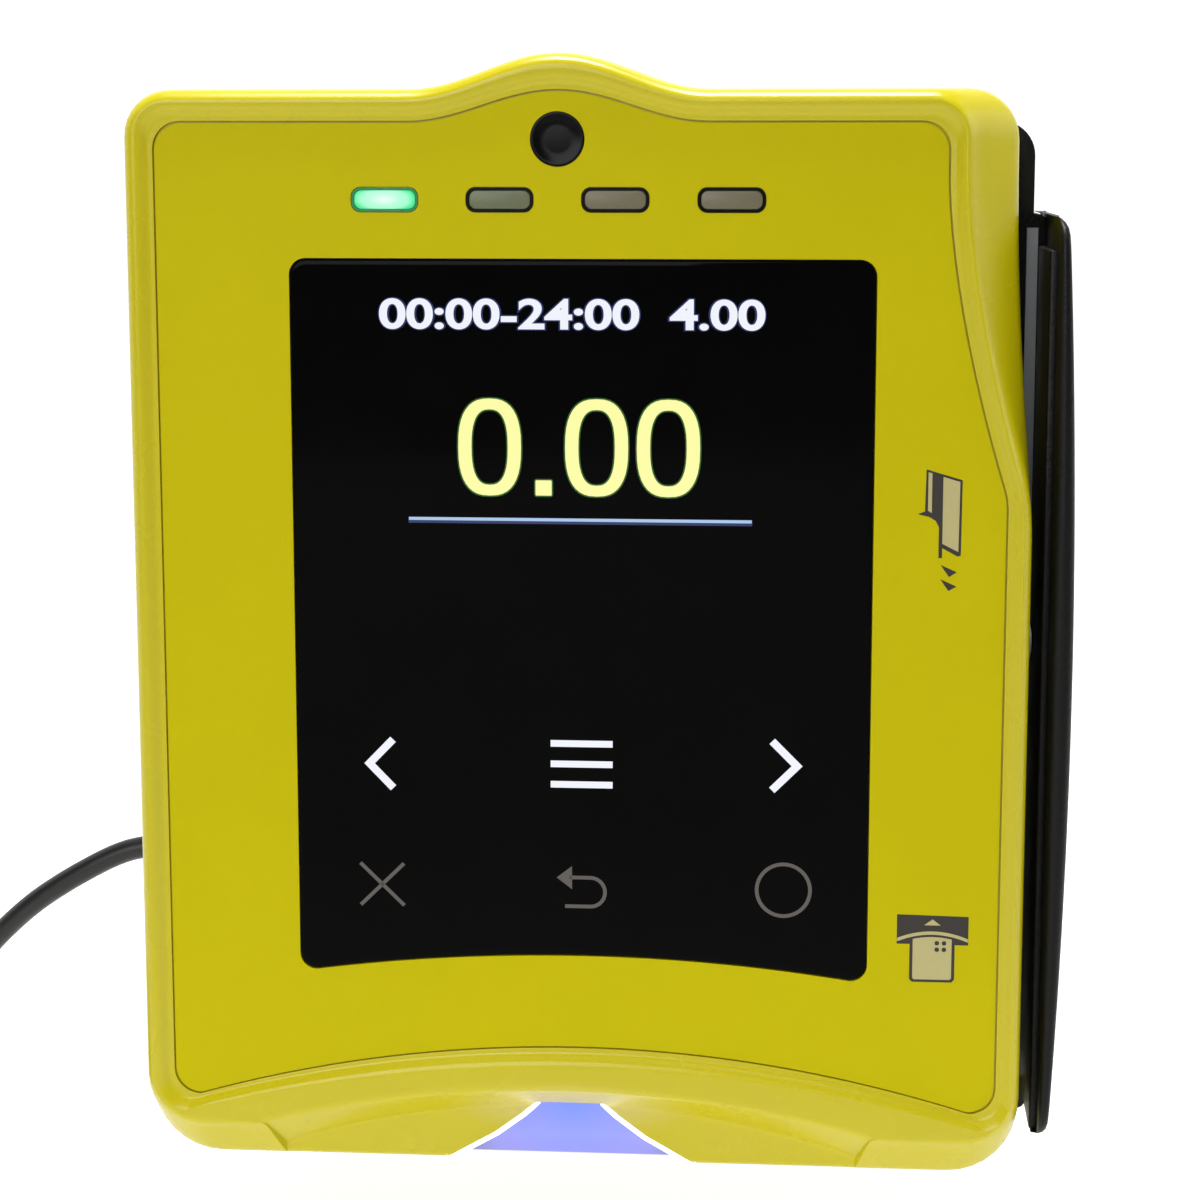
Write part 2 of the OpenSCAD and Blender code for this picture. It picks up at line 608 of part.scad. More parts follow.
module lead_connector() color(brass) translate(tail_points[5]) rotate([0, 90, -20])
  translate([0, 0, 0.2]) rotate(30)
  difference() {
    union() {
      cylinder(r = 2.1, h = 6);
      translate([0, 0, 5.9]) cylinder(r = 3, h = 2.1);
      translate([0, 0, 7.9]) cylinder(r = 4.2, h = 6.6, $fn = 6);
    }
    translate([0, 0, 10]) cylinder(r = 3.1, h = 6);
  }

front_housing();
front_inlay();
touch_glass();
glass_gasket();
lcd_panel();
lcd_backlight();
lcd_flex();
nfc_antenna();
light_pipes();
led_board();
status_leds();
sensor_window();
sensor_module();
chip_reader_body();
contact_carriage();
card_contacts();
card_switch_lever();
lever_pin();
card_switch();
mouth_light_guide();
guide_leds();
reader_screws();
main_board();
board_screws();
shield_can();
coin_cell_holder();
coin_cell();
buzzer();
tamper_switches();
tamper_plungers();
board_ribbon();
mag_head();
head_leaf_spring();
head_bracket();
head_screws();
swipe_rail();
rail_screws();
wear_strip();
rear_housing();
housing_gasket();
housing_screws();
mounting_studs();
io_board();
io_screws();
modem();
sim_holder();
sim_card();
sim_door();
sim_door_pin();
harness_socket();
service_button();
service_switch();
antenna_jack();
antenna_pigtail();
antenna_plug();
antenna_lead();
antenna_lead_coil();
antenna_lead_tail();
lead_tie();
lead_connector();
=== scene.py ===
"""A card payment terminal of a parking pay station: its looks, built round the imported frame."""
import json
import math

import bmesh
import bpy
import numpy as np
from mathutils import Matrix, Vector


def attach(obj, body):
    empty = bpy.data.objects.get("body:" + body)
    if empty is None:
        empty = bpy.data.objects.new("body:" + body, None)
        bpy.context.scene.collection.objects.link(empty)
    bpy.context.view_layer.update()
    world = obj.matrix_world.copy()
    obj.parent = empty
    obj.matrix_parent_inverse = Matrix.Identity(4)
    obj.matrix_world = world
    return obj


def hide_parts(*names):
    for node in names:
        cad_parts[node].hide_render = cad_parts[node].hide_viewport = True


bl_info = {
    "name": "Card payment terminal",
    "version": (1, 0, 0),
    "blender": (4, 5, 0),
    "location": "View3D > Sidebar > Terminal",
    "description": "Builds the looks of a card payment terminal round its packed frame",
    "category": "Object",
}

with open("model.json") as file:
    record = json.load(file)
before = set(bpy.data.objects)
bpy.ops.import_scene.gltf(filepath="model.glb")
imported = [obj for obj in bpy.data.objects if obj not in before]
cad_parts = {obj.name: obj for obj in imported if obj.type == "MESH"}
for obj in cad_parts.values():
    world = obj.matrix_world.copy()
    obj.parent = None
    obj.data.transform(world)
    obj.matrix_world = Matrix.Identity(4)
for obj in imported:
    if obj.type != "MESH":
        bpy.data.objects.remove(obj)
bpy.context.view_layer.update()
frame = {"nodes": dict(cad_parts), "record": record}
NODES = frame["nodes"]
MM = 0.001
BODY = "terminal"

# Depths of the faces, from the front: the rim, the film's face, its seat, the card lip.
Y_RIM, Y_FILM, Y_SEAT = -52.0, -51.1, -50.6
Y_WALL, Y_LIP, Y_LIP_BACK, Y_SPLIT = -48.2, -47.4, -45.6, -28.0
CENTRE_X, CARD_X, ARCH_X, GLASS_X = -2.1, -1.2, -1.4, 0.45
LIGHT_Z, SENSOR_Z = 49.5, 56.05
KINK_Z, RELIEF_Z = 17.0, 52.0
FLOOR_Z = -76.0


# ---------------------------------------------------------------- colours and nodes
def linear(code):
    """An sRGB hex colour as linear red, green, blue and alpha."""
    parts = [int(code[i:i + 2], 16) / 255 for i in (0, 2, 4)]
    return (*(c / 12.92 if c <= 0.04045 else ((c + 0.055) / 1.055) ** 2.4 for c in parts), 1.0)


def add(tree, kind, values=None, links=None, **settings):
    """Adds a node with its settings, its inputs' values and its links."""
    made = tree.nodes.new(kind)
    for key, value in settings.items():
        setattr(made, key, value)
    for key, value in (values or {}).items():
        made.inputs[key].default_value = value
    for key, source in (links or {}).items():
        tree.links.new(source, made.inputs[key])
    return made


def mixed(tree, factor, a, b):
    """One colour fading into another; each is a colour or an output."""
    made = add(tree, "ShaderNodeMix", links={0: factor}, data_type="RGBA")
    for key, colour in ((6, a), (7, b)):
        if isinstance(colour, bpy.types.NodeSocket):
            tree.links.new(colour, made.inputs[key])
        else:
            made.inputs[key].default_value = colour
    return made.outputs[2]


def darker(colour, share):
    return (*(c * share for c in colour[:3]), 1.0)


def once(build):
    """Gives back a material that is already there, so that an operator can run again."""
    def kept(name, *values, **named):
        return bpy.data.materials.get(name) or build(name, *values, **named)
    return kept


def started(name, values):
    """A new material with its tree, its shader and its Object coordinates."""
    made = bpy.data.materials.new(name)
    made.use_nodes = True
    tree = made.node_tree
    tree.nodes.clear()
    out = add(tree, "ShaderNodeOutputMaterial")
    shader = add(tree, "ShaderNodeBsdfPrincipled", values)
    tree.links.new(shader.outputs[0], out.inputs[0])
    return made, tree, shader, add(tree, "ShaderNodeTexCoord").outputs["Object"]


def noise(tree, place, size, detail, **more):
    """Noise whose features are about size mm wide."""
    values = {"Scale": 1 / (size * MM), "Detail": detail, **more}
    return add(tree, "ShaderNodeTexNoise", values, {"Vector": place}).outputs[0]


def distance(tree, place, middle, reach):
    """Distance from middle in X and Z, which is 1 at reach; both in mm."""
    scale = (1 / (reach[0] * MM), 0.0, 1 / (reach[1] * MM))
    near = add(tree, "ShaderNodeMapping",
               {"Location": (-middle[0] * MM * scale[0], 0, -middle[1] * MM * scale[2]),
                "Scale": scale}, {"Vector": place})
    return add(tree, "ShaderNodeVectorMath", links={0: near.outputs[0]},
               operation="LENGTH").outputs["Value"]


@once
def surface(name, code, rough, metal=0.0, ior=1.5, gleam=0.5, patch=(14.0, 0.9), uneven=0.05, cells=None,
            grains=(), stretch=(1, 1, 1), wear=None, pattern=None, painted_spill=None):
    """A solid finish. patch is the size in mm and the shade of faint patches; grains are the
    (size, height) in mm of its texture, after that of its cells; wear is (colour, size in mm,
    share); the spill is painted light from a lit part near it, an emission that fades with distance:
    (colour, middle, reach, strength)."""
    made, tree, shader, place = started(name, {"Metallic": metal, "Specular IOR Level": gleam})
    if not metal:
        shader.inputs["IOR"].default_value = ior
    if stretch != (1, 1, 1):
        place = add(tree, "ShaderNodeMapping", {"Scale": stretch}, {"Vector": place}).outputs[0]
    colour = linear(code)
    blotch = noise(tree, place, patch[0], 4.0, Roughness=0.6)
    shade = mixed(tree, blotch, darker(colour, patch[1]), darker(colour, 2 - patch[1]))
    if pattern:
        shade = pattern(tree, place, shade)
    if wear:
        worn, size, share = wear
        cut_off = add(tree, "ShaderNodeMapRange", {"From Min": 1 - share, "From Max": 1.06 - share},
                      {"Value": noise(tree, place, size, 6.0, Roughness=0.7)})
        shade = mixed(tree, cut_off.outputs[0], shade, linear(worn))
    tree.links.new(shade, shader.inputs["Base Color"])
    level = add(tree, "ShaderNodeMapRange", {
        "From Min": 0.3, "From Max": 0.7, "To Min": max(rough - uneven, 0.02),
        "To Max": min(rough + uneven, 1.0)}, {"Value": blotch})
    tree.links.new(level.outputs[0], shader.inputs["Roughness"])
    if painted_spill:
        lamp, middle, reach, strength = painted_spill
        fall = add(tree, "ShaderNodeMapRange", {"From Min": 0.25, "From Max": 1.0, "To Min": strength,
                   "To Max": 0.0}, {"Value": distance(tree, place, middle, reach)},
                   interpolation_type="SMOOTHSTEP")
        shader.inputs["Emission Color"].default_value = linear(lamp)
        tree.links.new(fall.outputs[0], shader.inputs["Emission Strength"])
    waves = [(noise(tree, place, size, 2.0), height) for size, height in grains]
    if cells:
        cell = add(tree, "ShaderNodeTexVoronoi", {"Scale": 1 / (cells[0] * MM)}, {"Vector": place})
        waves.insert(0, (cell.outputs[0], cells[1]))
    normal = {}
    for wave, height in waves:
        bumped = add(tree, "ShaderNodeBump", {"Strength": 1.0, "Distance": height * MM},
                     {"Height": wave, **normal})
        normal = {"Normal": bumped.outputs[0]}
    if normal:
        tree.links.new(normal["Normal"], shader.inputs["Normal"])
    return made


@once
def glowing(name, stops, middle, reach, strength, base):
    """A lit plastic, or a plastic given painted light: its glow fades through the stops with distance from
    middle, in mm, with reach the distances at which the last stop is met along X and Z."""
    made, tree, shader, place = started(name, {"Roughness": 0.35, "IOR": 1.49,
                                               "Emission Strength": strength})
    fine = noise(tree, place, 0.5, 2.0)
    soft = add(tree, "ShaderNodeMath", {1: 0.08}, {0: fine, 2: distance(tree, place, middle, reach)},
               operation="MULTIPLY_ADD")
    ramp = add(tree, "ShaderNodeValToRGB", links={0: soft.outputs[0]})
    ramp.color_ramp.interpolation = "EASE"
    steps = ramp.color_ramp.elements
    for i, (at, code) in enumerate(stops):
        stop = steps[i] if i < 2 else steps.new(at)
        stop.position, stop.color = at, linear(code)
    tree.links.new(ramp.outputs[0], shader.inputs["Emission Color"])
    body = linear(base)
    tree.links.new(mixed(tree, fine, body, darker(body, 0.85)), shader.inputs["Base Color"])
    return made


@once
def lit(name, colour, strength):
    """A lit area of the screen, which shows its own colour through a fine dot grid."""
    made, tree, shader, place = started(name, {"Roughness": 0.12, "Emission Strength": strength,
                                               "Base Color": (0.01, 0.01, 0.01, 1)})
    dots = add(tree, "ShaderNodeTexVoronoi", {"Scale": 1 / (0.18 * MM), "Randomness": 0.0},
               {"Vector": place})
    tree.links.new(mixed(tree, dots.outputs[0], (*colour[:3], 1), darker(colour, 0.88)),
                   shader.inputs["Emission Color"])
    return made


def tracks(tree, place, under):
    """Copper tracks under the solder mask: a brick pattern's thin joints, 2.5 mm apart."""
    facing = add(tree, "ShaderNodeMapping", {"Rotation": (math.pi / 2, 0, 0)}, {"Vector": place})
    brick = add(tree, "ShaderNodeTexBrick", {"Scale": 1 / (5 * MM), "Mortar Size": 0.05,
                "Brick Width": 0.7, "Row Height": 0.35}, {"Vector": facing.outputs[0]})
    return mixed(tree, brick.outputs["Fac"], under, linear("3F8A5C"))


def finishes():
    """Every finish, by the record's slot."""
    return {
        # ABS, moulded in a spark-eroded tool: satin, with a fine even orange peel
        "yellow_shell": surface("moulded_yellow_abs", "C6B906", 0.27, gleam=0.45, patch=(18, 0.965),
                                grains=((0.55, 0.012), (0.16, 0.005)), uneven=0.02,
                                wear=("A39A10", 1.4, 0.2),
                                # painted light: the blue guide's glow on the shell round the thumb notch,
                                # put in as a weak emission
                                painted_spill=("6A66C8", (CARD_X, -54.5), (16.0, 4.5), 0.2)),
        # polycarbonate film, screen printed: flatter and a little darker than the shell
        "yellow_film": surface("printed_yellow_film", "C4B806", 0.45, gleam=0.06, patch=(16, 0.955),
                               grains=((0.3, 0.006),), wear=("7E7610", 1.6, 0.225)),
        # glass printed black on its back: deep, smooth, with faint finger marks
        "touch_glass": surface("black_backed_glass", "050505", 0.05, ior=1.52, gleam=0.04,
                               patch=(9, 0.7), uneven=0.02, wear=("1A1A1C", 0.6, 0.2)),
        # ABS from a tool etched with a leather grain: dull black with soft small glints
        "black_shell": surface("grained_black_abs", "060606", 0.42, gleam=0.22, patch=(7, 0.85),
                               cells=(0.5, 0.03), grains=((0.25, 0.012),)),
        # ABS from a polished tool: smooth black with sharper highlights
        "black_trim": surface("gloss_black_abs", "060607", 0.2, gleam=0.12, patch=(5, 0.8),
                              grains=((0.8, 0.003),)),
        # glass-filled nylon, moulded: charcoal and matt
        "dark_plastic": surface("matt_dark_nylon", "1D1D1F", 0.55, patch=(4, 0.88), grains=((0.3, 0.01),)),
        # acetal, moulded: mid grey with a waxy sheen
        "grey_plastic": surface("matt_grey_acetal", "55565A", 0.45, patch=(3, 0.9), grains=((0.3, 0.008),)),
        # polycarbonate, moulded: off-white and smooth
        "white_plastic": surface("white_polycarbonate", "DEDDD6", 0.35, patch=(3, 0.94),
                                 grains=((0.4, 0.006),)),
        # acrylic with a sand-blasted face: milky, hides what is behind it
        "window_plastic": surface("frosted_light_pipe", "8A8468", 0.4, ior=1.49, patch=(1.5, 0.9),
                                  grains=((0.2, 0.006),)),
        # frosted acrylic that carries blue light: even and pale
        "clear_guide": surface("frosted_blue_acrylic", "A9AEF0", 0.3, ior=1.49, patch=(6, 0.92),
                               grains=((0.35, 0.006),)),
        # the display's polariser: nearly black and glossy
        "display_cell": surface("dark_display_cell", "14161B", 0.1, patch=(8, 0.85)),
        # epoxy-glass board under a green mask, with its tracks showing through
        "circuit_board": surface("green_solder_mask", "12603A", 0.28, patch=(3, 0.85),
                                 grains=((0.4, 0.01),), pattern=tracks),
        # polyimide film: amber, smooth and slightly shiny
        "flex_film": surface("amber_polyimide", "B8791F", 0.25, patch=(2, 0.88), grains=((0.5, 0.008),)),
        # ribbon cable: its cores show as long ridges
        "ribbon": surface("grey_ribbon_cable", "8D8E92", 0.5, patch=(1.2, 0.8), stretch=(4, 1, 0.1),
                          grains=((0.6, 0.05),)),
        # silicone, moulded: soft and without shine
        "gasket": surface("black_silicone", "202021", 0.7, patch=(2, 0.85), grains=((0.4, 0.015),)),
        # PVC jacket, extruded: a smooth black with low, soft bumps
        "lead_jacket": surface("extruded_black_pvc", "0B0B0C", 0.38, patch=(3, 0.8),
                               grains=((0.7, 0.012),)),
        # steel, zinc plated: bright, with a slightly cloudy shine
        "steel": surface("zinc_plated_steel", "B9BCC2", 0.3, metal=1.0, patch=(1.5, 0.85),
                         grains=((0.25, 0.004),)),
        # tinned sheet, stamped: rolling lines run along it
        "stamped_steel": surface("stamped_tinned_steel", "9C9FA4", 0.36, metal=1.0, patch=(3, 0.85),
                                 stretch=(1, 1, 0.08), grains=((0.3, 0.006),)),
        # steel worn smooth by cards: nearly a mirror
        "polished_steel": surface("polished_steel", "C6C8CC", 0.12, metal=1.0, patch=(2, 0.9),
                                  grains=((1.2, 0.002),)),
        # brass, machined and gold plated: warm and bright
        "gold_brass": surface("gold_plated_brass", "D9A94E", 0.22, metal=1.0, patch=(1.2, 0.88),
                              grains=((0.2, 0.003),)),
    }


FINISH = finishes()


# ---------------------------------------------------------------- meshes
def in_scene(name, data):
    """A new object in the scene."""
    obj = bpy.data.objects.new(name, data)
    bpy.context.scene.collection.objects.link(obj)
    return obj


def gone(obj):
    """Removes an object and its data."""
    data = obj.data
    bpy.data.objects.remove(obj)
    (bpy.data.meshes if isinstance(data, bpy.types.Mesh) else bpy.data.curves).remove(data)


def evaluated(obj):
    """The mesh that an object's modifiers or curve end in."""
    return bpy.data.meshes.new_from_object(obj.evaluated_get(bpy.context.evaluated_depsgraph_get()))


def baked(obj):
    """That mesh, with the object gone."""
    mesh = evaluated(obj)
    gone(obj)
    return mesh


def settled(bm, name):
    """A bmesh as a mesh: doubles merged, faces outward."""
    bmesh.ops.remove_doubles(bm, verts=bm.verts, dist=2e-7)
    bmesh.ops.dissolve_degenerate(bm, dist=1e-7, edges=bm.edges)
    bmesh.ops.recalc_face_normals(bm, faces=bm.faces)
    mesh = bpy.data.meshes.new(name)
    bm.to_mesh(mesh)
    bm.free()
    return mesh


def resettled(mesh, name):
    """The same for a mesh."""
    bm = bmesh.new()
    bm.from_mesh(mesh)
    bpy.data.meshes.remove(mesh)
    return settled(bm, name)


def finished(mesh, finish, sharp):
    """Gives a mesh its one finish, smooth but for the edges sharper than sharp degrees."""
    mesh.materials.clear()
    mesh.materials.append(finish if isinstance(finish, bpy.types.Material) else FINISH[finish])
    mesh.shade_smooth()
    mesh.set_sharp_from_angle(angle=math.radians(sharp))


def piece(name, shape, finish, body=BODY, stands_for=(), sharp=35):
    """Puts a finished bmesh or mesh in the scene, on its body."""
    mesh = settled(shape, name) if isinstance(shape, bmesh.types.BMesh) else shape
    obj = in_scene(name, mesh)
    finished(mesh, finish, sharp)
    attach(obj, body)
    if stands_for:
        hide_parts(*stands_for)
    return obj


def loft(bm, rings, around=False):
    """A skin over rings of points in mm, capped, or joined from the last ring to the first."""
    rows = [[bm.verts.new(Vector(p) * MM) for p in ring] for ring in rings]
    count = len(rows[0])
    pairs = list(zip(rows, rows[1:])) + ([(rows[-1], rows[0])] if around else [])
    for a, b in pairs:
        for i in range(count):
            j = (i + 1) % count
            bm.faces.new((a[i], a[j], b[j], b[i]))
    if not around:
        bm.faces.new(rows[0][::-1])
        bm.faces.new(rows[-1])


def rounded(rings, radii, steps):
    """Rings with each column's corners rounded, column by column. Coincident rings share
    a corner. radii and steps hold one value a ring."""
    rings = np.array(rings, float)
    count = len(rings)
    out = [np.zeros((s, rings.shape[1], 3)) for s in steps]
    for i in range(rings.shape[1]):
        column, k = rings[:, i], 0
        while k < count:
            last = k
            while last + 1 < count and np.linalg.norm(column[last + 1] - column[k]) < 1e-4:
                last += 1
            total = sum(steps[k:last + 1])
            here, radius = column[k], max(radii[k:last + 1])
            if k == 0 or last == count - 1 or radius == 0 or total == 1:
                points = np.repeat(here[None], total, 0)
            else:
                before, after = column[k - 1] - here, column[last + 1] - here
                a, b = np.linalg.norm(before), np.linalg.norm(after)
                a = here + before / a * min(radius, 0.46 * a)
                b = here + after / b * min(radius, 0.46 * b)
                t = np.linspace(0, 1, total)[:, None]
                points = (1 - t) ** 2 * a + 2 * t * (1 - t) * here + t ** 2 * b
            at = 0
            for r in range(k, last + 1):
                out[r][:, i] = points[at:at + steps[r]]
                at += steps[r]
            k = last + 1
    return [row for block in out for row in block]


def arc(cx, cz, r, a0, a1, n):
    return [(cx + r * math.cos(math.radians(a0 + (a1 - a0) * i / n)),
             cz + r * math.sin(math.radians(a0 + (a1 - a0) * i / n))) for i in range(n + 1)]


def lerp(a, b, t):
    return a + (b - a) * t


def circle_z(x, x0, r, top):
    return top - r + math.sqrt(r * r - (x - x0) ** 2)


BUMP_HALF = 16.5


def bump(x, height):
    """Height of the bump over the sensor."""
    d = abs(x - CENTRE_X)
    return height * (0.5 + 0.5 * math.cos(math.pi * d / BUMP_HALF)) if d < BUMP_HALF else 0.0


def side_x(z, ru, rl, blur):
    """X of the right side, which turns in above the kink; blur rounds the kink."""
    total = 0.0
    for k in range(-4, 5):
        s = min(max((z + blur * k / 4 - KINK_Z) / (RELIEF_Z - KINK_Z), 0.0), 1.0)
        total += rl - (rl - ru) * (1 - (1 - s) ** 1.6)
    return total / 9


# Heights of the right side's points, closest where it turns in.
SIDE_Z = (-38, -20, -4, 6, 9, 11, 12.5, 14, 15, 16, 17, 18, 19, 20.5, 22, 24, 26, 28.5, 31, 34, 37, 40,
          43, 46, 49, 51.5, 54)


def outline(y, l, ru, rl, t, b, rb, rt, height, blur=0.3, half=33.2, under=None, spread=False,
            mid=ARCH_X):
    """One ring of the face, in mm: bottom left corner, bottom, right side, top, left side.
    under(x) is the arched part of the bottom, mid its middle and half its half-width."""
    under = under or (lambda x: b)
    x0, x1 = mid - half, mid + half
    pts = arc(l + rb, b + rb, rb, 180, 270, 8)
    pts += [(lerp(l + rb, x0, i / 4), b) for i in range(1, 5)]
    pts += [(x0, lerp(b, under(x0), i / 2)) for i in (1, 2)]
    pts += [(lerp(x0, x1, i / 36), under(lerp(x0, x1, i / 36))) for i in range(1, 36)]
    pts += [(x1, lerp(under(x1), b, i / 2)) for i in (0, 1, 2)]
    pts += [(lerp(x1, rl - rb, i / 4), b) for i in range(1, 4)]
    pts += arc(rl - rb, b + rb, rb, 270, 360, 8)
    for z in SIDE_Z:
        if spread:
            z = lerp(b + rb, t - rt, (z + 50) / 106)
            pts.append((rl, z))
        else:
            pts.append((side_x(z, ru, rl, blur), z))
    pts += arc(ru - rt, t - rt, rt, 0, 90, 8)
    right, left = CENTRE_X + BUMP_HALF, CENTRE_X - BUMP_HALF
    pts += [(lerp(ru - rt, right, i / 4), t) for i in range(1, 4)]
    pts += [(lerp(right, left, i / 30), t + bump(lerp(right, left, i / 30), height)) for i in range(31)]
    pts += [(lerp(left, l + rt, i / 4), t) for i in range(1, 4)]
    pts += arc(l + rt, t - rt, rt, 90, 180, 8)
    pts += [(l, lerp(t - rt, b + rb, i / 4)) for i in (1, 2, 3)]
    return [(x, y, z) for x, z in pts]


def panel_ring(y, g):
    """The outline of the film, grown by g."""
    b, half = -53.0 - g, 44.0 + g
    return outline(y, -46.7 - g, 40.3 + g, 47.3 + g, 57.8 + g, b, 3.0, 3.0, 3.4, half=half, mid=0.3,
                   under=lambda x: b + 6.6 * (1 - ((x - 0.3) / half) ** 2), blur=0.8 + max(g, 0))


def glass_ring(y, g):
    """The outline of the touch glass, grown by g."""
    wide, corner = 32.25 + g, max(1.75 + g, 0.5)
    return outline(y, GLASS_X - wide, GLASS_X + wide, GLASS_X + wide, 43 + g, -37.8 - g, corner, corner,
                   0.0, half=min(30.32, wide - corner - 0.05), mid=GLASS_X, spread=True,
                   under=lambda x: circle_z(x, GLASS_X, 210, -35.6) - g)


def bell(g):
    """The thumb notch in the card lip, grown by g."""
    half = [(3.9, -54.2), (4.6, -54.9), (5.6, -55.8), (7.2, -57.0), (8.8, -58.2), (10.2, -59.0),
            (11.6, -59.8), (13.0, -60.6), (14.4, -61.9), (14.6, -64.0)]
    right = [(CARD_X + x + g, z + g) for x, z in half]
    return right + [(2 * CARD_X - x, z) for x, z in right[::-1]]


def extruded(bm, outline_xz, y0, y1):
    """A drawing in X and Z as a closed slab."""
    loft(bm, [[(x, y, z) for x, z in outline_xz] for y in (y0, y1)])


def plate(name, loops, y_front, thick):
    """A flat sheet with holes: the first loop is its outline, the others its holes."""
    flat = bpy.data.curves.new(name, "CURVE")
    flat.dimensions, flat.fill_mode, flat.extrude = "2D", "BOTH", thick / 2 * MM
    for loop in loops:
        spline = flat.splines.new("POLY")
        spline.points.add(len(loop) - 1)
        for point, (x, z) in zip(spline.points, loop):
            point.co = (x * MM, z * MM, 0, 1)
        spline.use_cyclic_u = True
    mesh = baked(in_scene(name, flat))
    mesh.transform(Matrix.Translation((0, (y_front + thick / 2) * MM, 0))
                   @ Matrix.Rotation(math.pi / 2, 4, "X"))
    return resettled(mesh, name)


def round_rect(cx, cz, w, h, r, n=6):
    x, z = w / 2 - r, h / 2 - r
    return (arc(cx + x, cz - z, r, 270, 360, n) + arc(cx + x, cz + z, r, 0, 90, n)
            + arc(cx - x, cz + z, r, 90, 180, n) + arc(cx - x, cz - z, r, 180, 270, n))


def cut(obj, cutters):
    """Takes closed cutters off a piece, exactly."""
    for bm in cutters:
        tool = in_scene("cutter", settled(bm, "cutter"))
        step = obj.modifiers.new("cut", "BOOLEAN")
        step.object, step.operation, step.solver = tool, "DIFFERENCE", "EXACT"
        result = evaluated(obj)
        obj.modifiers.clear()
        whole = obj.data
        obj.data = result
        bpy.data.meshes.remove(whole)
        gone(tool)


def box_in(bm, low, high, r=0.0, seg=2):
    """A box in mm with rounded edges."""
    made = bmesh.ops.create_cube(bm, size=1.0)["verts"]
    low, high = Vector(low), Vector(high)
    for v in made:
        v.co = Vector((lerp(low[k], high[k], v.co[k] + 0.5) for k in range(3))) * MM
    if r:
        edges = list({e for v in made for e in v.link_edges})
        bmesh.ops.bevel(bm, geom=edges, offset=r * MM, segments=seg, profile=0.5, affect="EDGES")


def turned(bm, profile, axis, at, sides=40, six=()):
    """A turned solid: profile holds (radius, place along axis) in mm; rows in six are hexagons."""
    rows = []
    for n, (r, h) in enumerate(profile):
        row = []
        for i in range(sides):
            a = 2 * math.pi * i / sides
            k = r
            if n in six:
                k = r * math.cos(math.pi / 6) / math.cos((a + math.pi / 6) % (math.pi / 3) - math.pi / 6)
            u, v = k * math.cos(a), k * math.sin(a)
            local = {"x": (h, u, v), "y": (u, h, v), "z": (u, v, h)}[axis]
            row.append(tuple(local[j] + at[j] for j in range(3)))
        rows.append(row)
    loft(bm, rows)


def dressed(name, node, finish, edge, seg=2, body=BODY):
    """A CAD node's shape with its edges softened, as the tool leaves them."""
    bm = bmesh.new()
    bm.from_mesh(NODES[node].data)
    bmesh.ops.remove_doubles(bm, verts=bm.verts, dist=1e-6)
    bmesh.ops.dissolve_limit(bm, angle_limit=math.radians(0.5), verts=bm.verts, edges=bm.edges)
    mesh = bpy.data.meshes.new(name)
    bm.to_mesh(mesh)
    bm.free()
    obj = in_scene(name, mesh)
    step = obj.modifiers.new("edges", "BEVEL")
    step.width, step.segments, step.limit_method = edge * MM, seg, "ANGLE"
    step.angle_limit, step.use_clamp_overlap = math.radians(50), True
    step.harden_normals = True
    mesh.shade_smooth()
    return piece(name, baked(obj), finish, body=body, stands_for=(node,), sharp=40)


# ---------------------------------------------------------------- what repeats
def repeat_tree():
    """Puts one part at each point, turned at random about Y, realized and finished."""
    if "repeat_part" in bpy.data.node_groups:
        return bpy.data.node_groups["repeat_part"]
    tree = bpy.data.node_groups.new("repeat_part", "GeometryNodeTree")
    for label, way, kind in (("Places", "INPUT", "Geometry"), ("Part", "INPUT", "Object"),
                             ("Finish", "INPUT", "Material"), ("Turn", "INPUT", "Float"),
                             ("Seed", "INPUT", "Int"), ("Result", "OUTPUT", "Geometry")):
        tree.interface.new_socket(label, in_out=way, socket_type="NodeSocket" + kind)
    given = add(tree, "NodeGroupInput")
    part = add(tree, "GeometryNodeObjectInfo", links={"Object": given.outputs["Part"]})
    most = add(tree, "ShaderNodeCombineXYZ", links={"Y": given.outputs["Turn"]})
    turn = add(tree, "FunctionNodeRandomValue", {0: (0, 0, 0)},
               {1: most.outputs[0], "Seed": given.outputs["Seed"]}, data_type="FLOAT_VECTOR")
    placed = add(tree, "GeometryNodeInstanceOnPoints", links={
        "Points": given.outputs["Places"], "Instance": part.outputs["Geometry"],
        "Rotation": turn.outputs[0]})
    whole = add(tree, "GeometryNodeRealizeInstances", links={0: placed.outputs[0]})
    done = add(tree, "GeometryNodeSetMaterial", links={
        "Geometry": whole.outputs[0], "Material": given.outputs["Finish"]})
    add(tree, "NodeGroupOutput", links={0: done.outputs[0]})
    return tree


def repeated(name, bm_part, places, finish, turn=0.0, seed=1, stands_for=()):
    """One made part at every place, in mm, as one mesh."""
    tree = repeat_tree()
    part = in_scene(name + "_one", settled(bm_part, name + "_one"))
    points = bpy.data.meshes.new(name + "_places")
    points.from_pydata([Vector(p) * MM for p in places], [], [])
    holder = in_scene(name + "_places", points)
    step = holder.modifiers.new("repeat", "NODES")
    step.node_group = tree
    values = {"Part": part, "Finish": FINISH[finish], "Turn": turn, "Seed": seed}
    for item in tree.interface.items_tree:
        if item.in_out == "INPUT" and item.name in values:
            step[item.identifier] = values[item.name]
    holder.update_tag()
    bpy.context.view_layer.update()
    mesh = baked(holder)
    gone(part)
    return piece(name, mesh, finish, stands_for=stands_for)


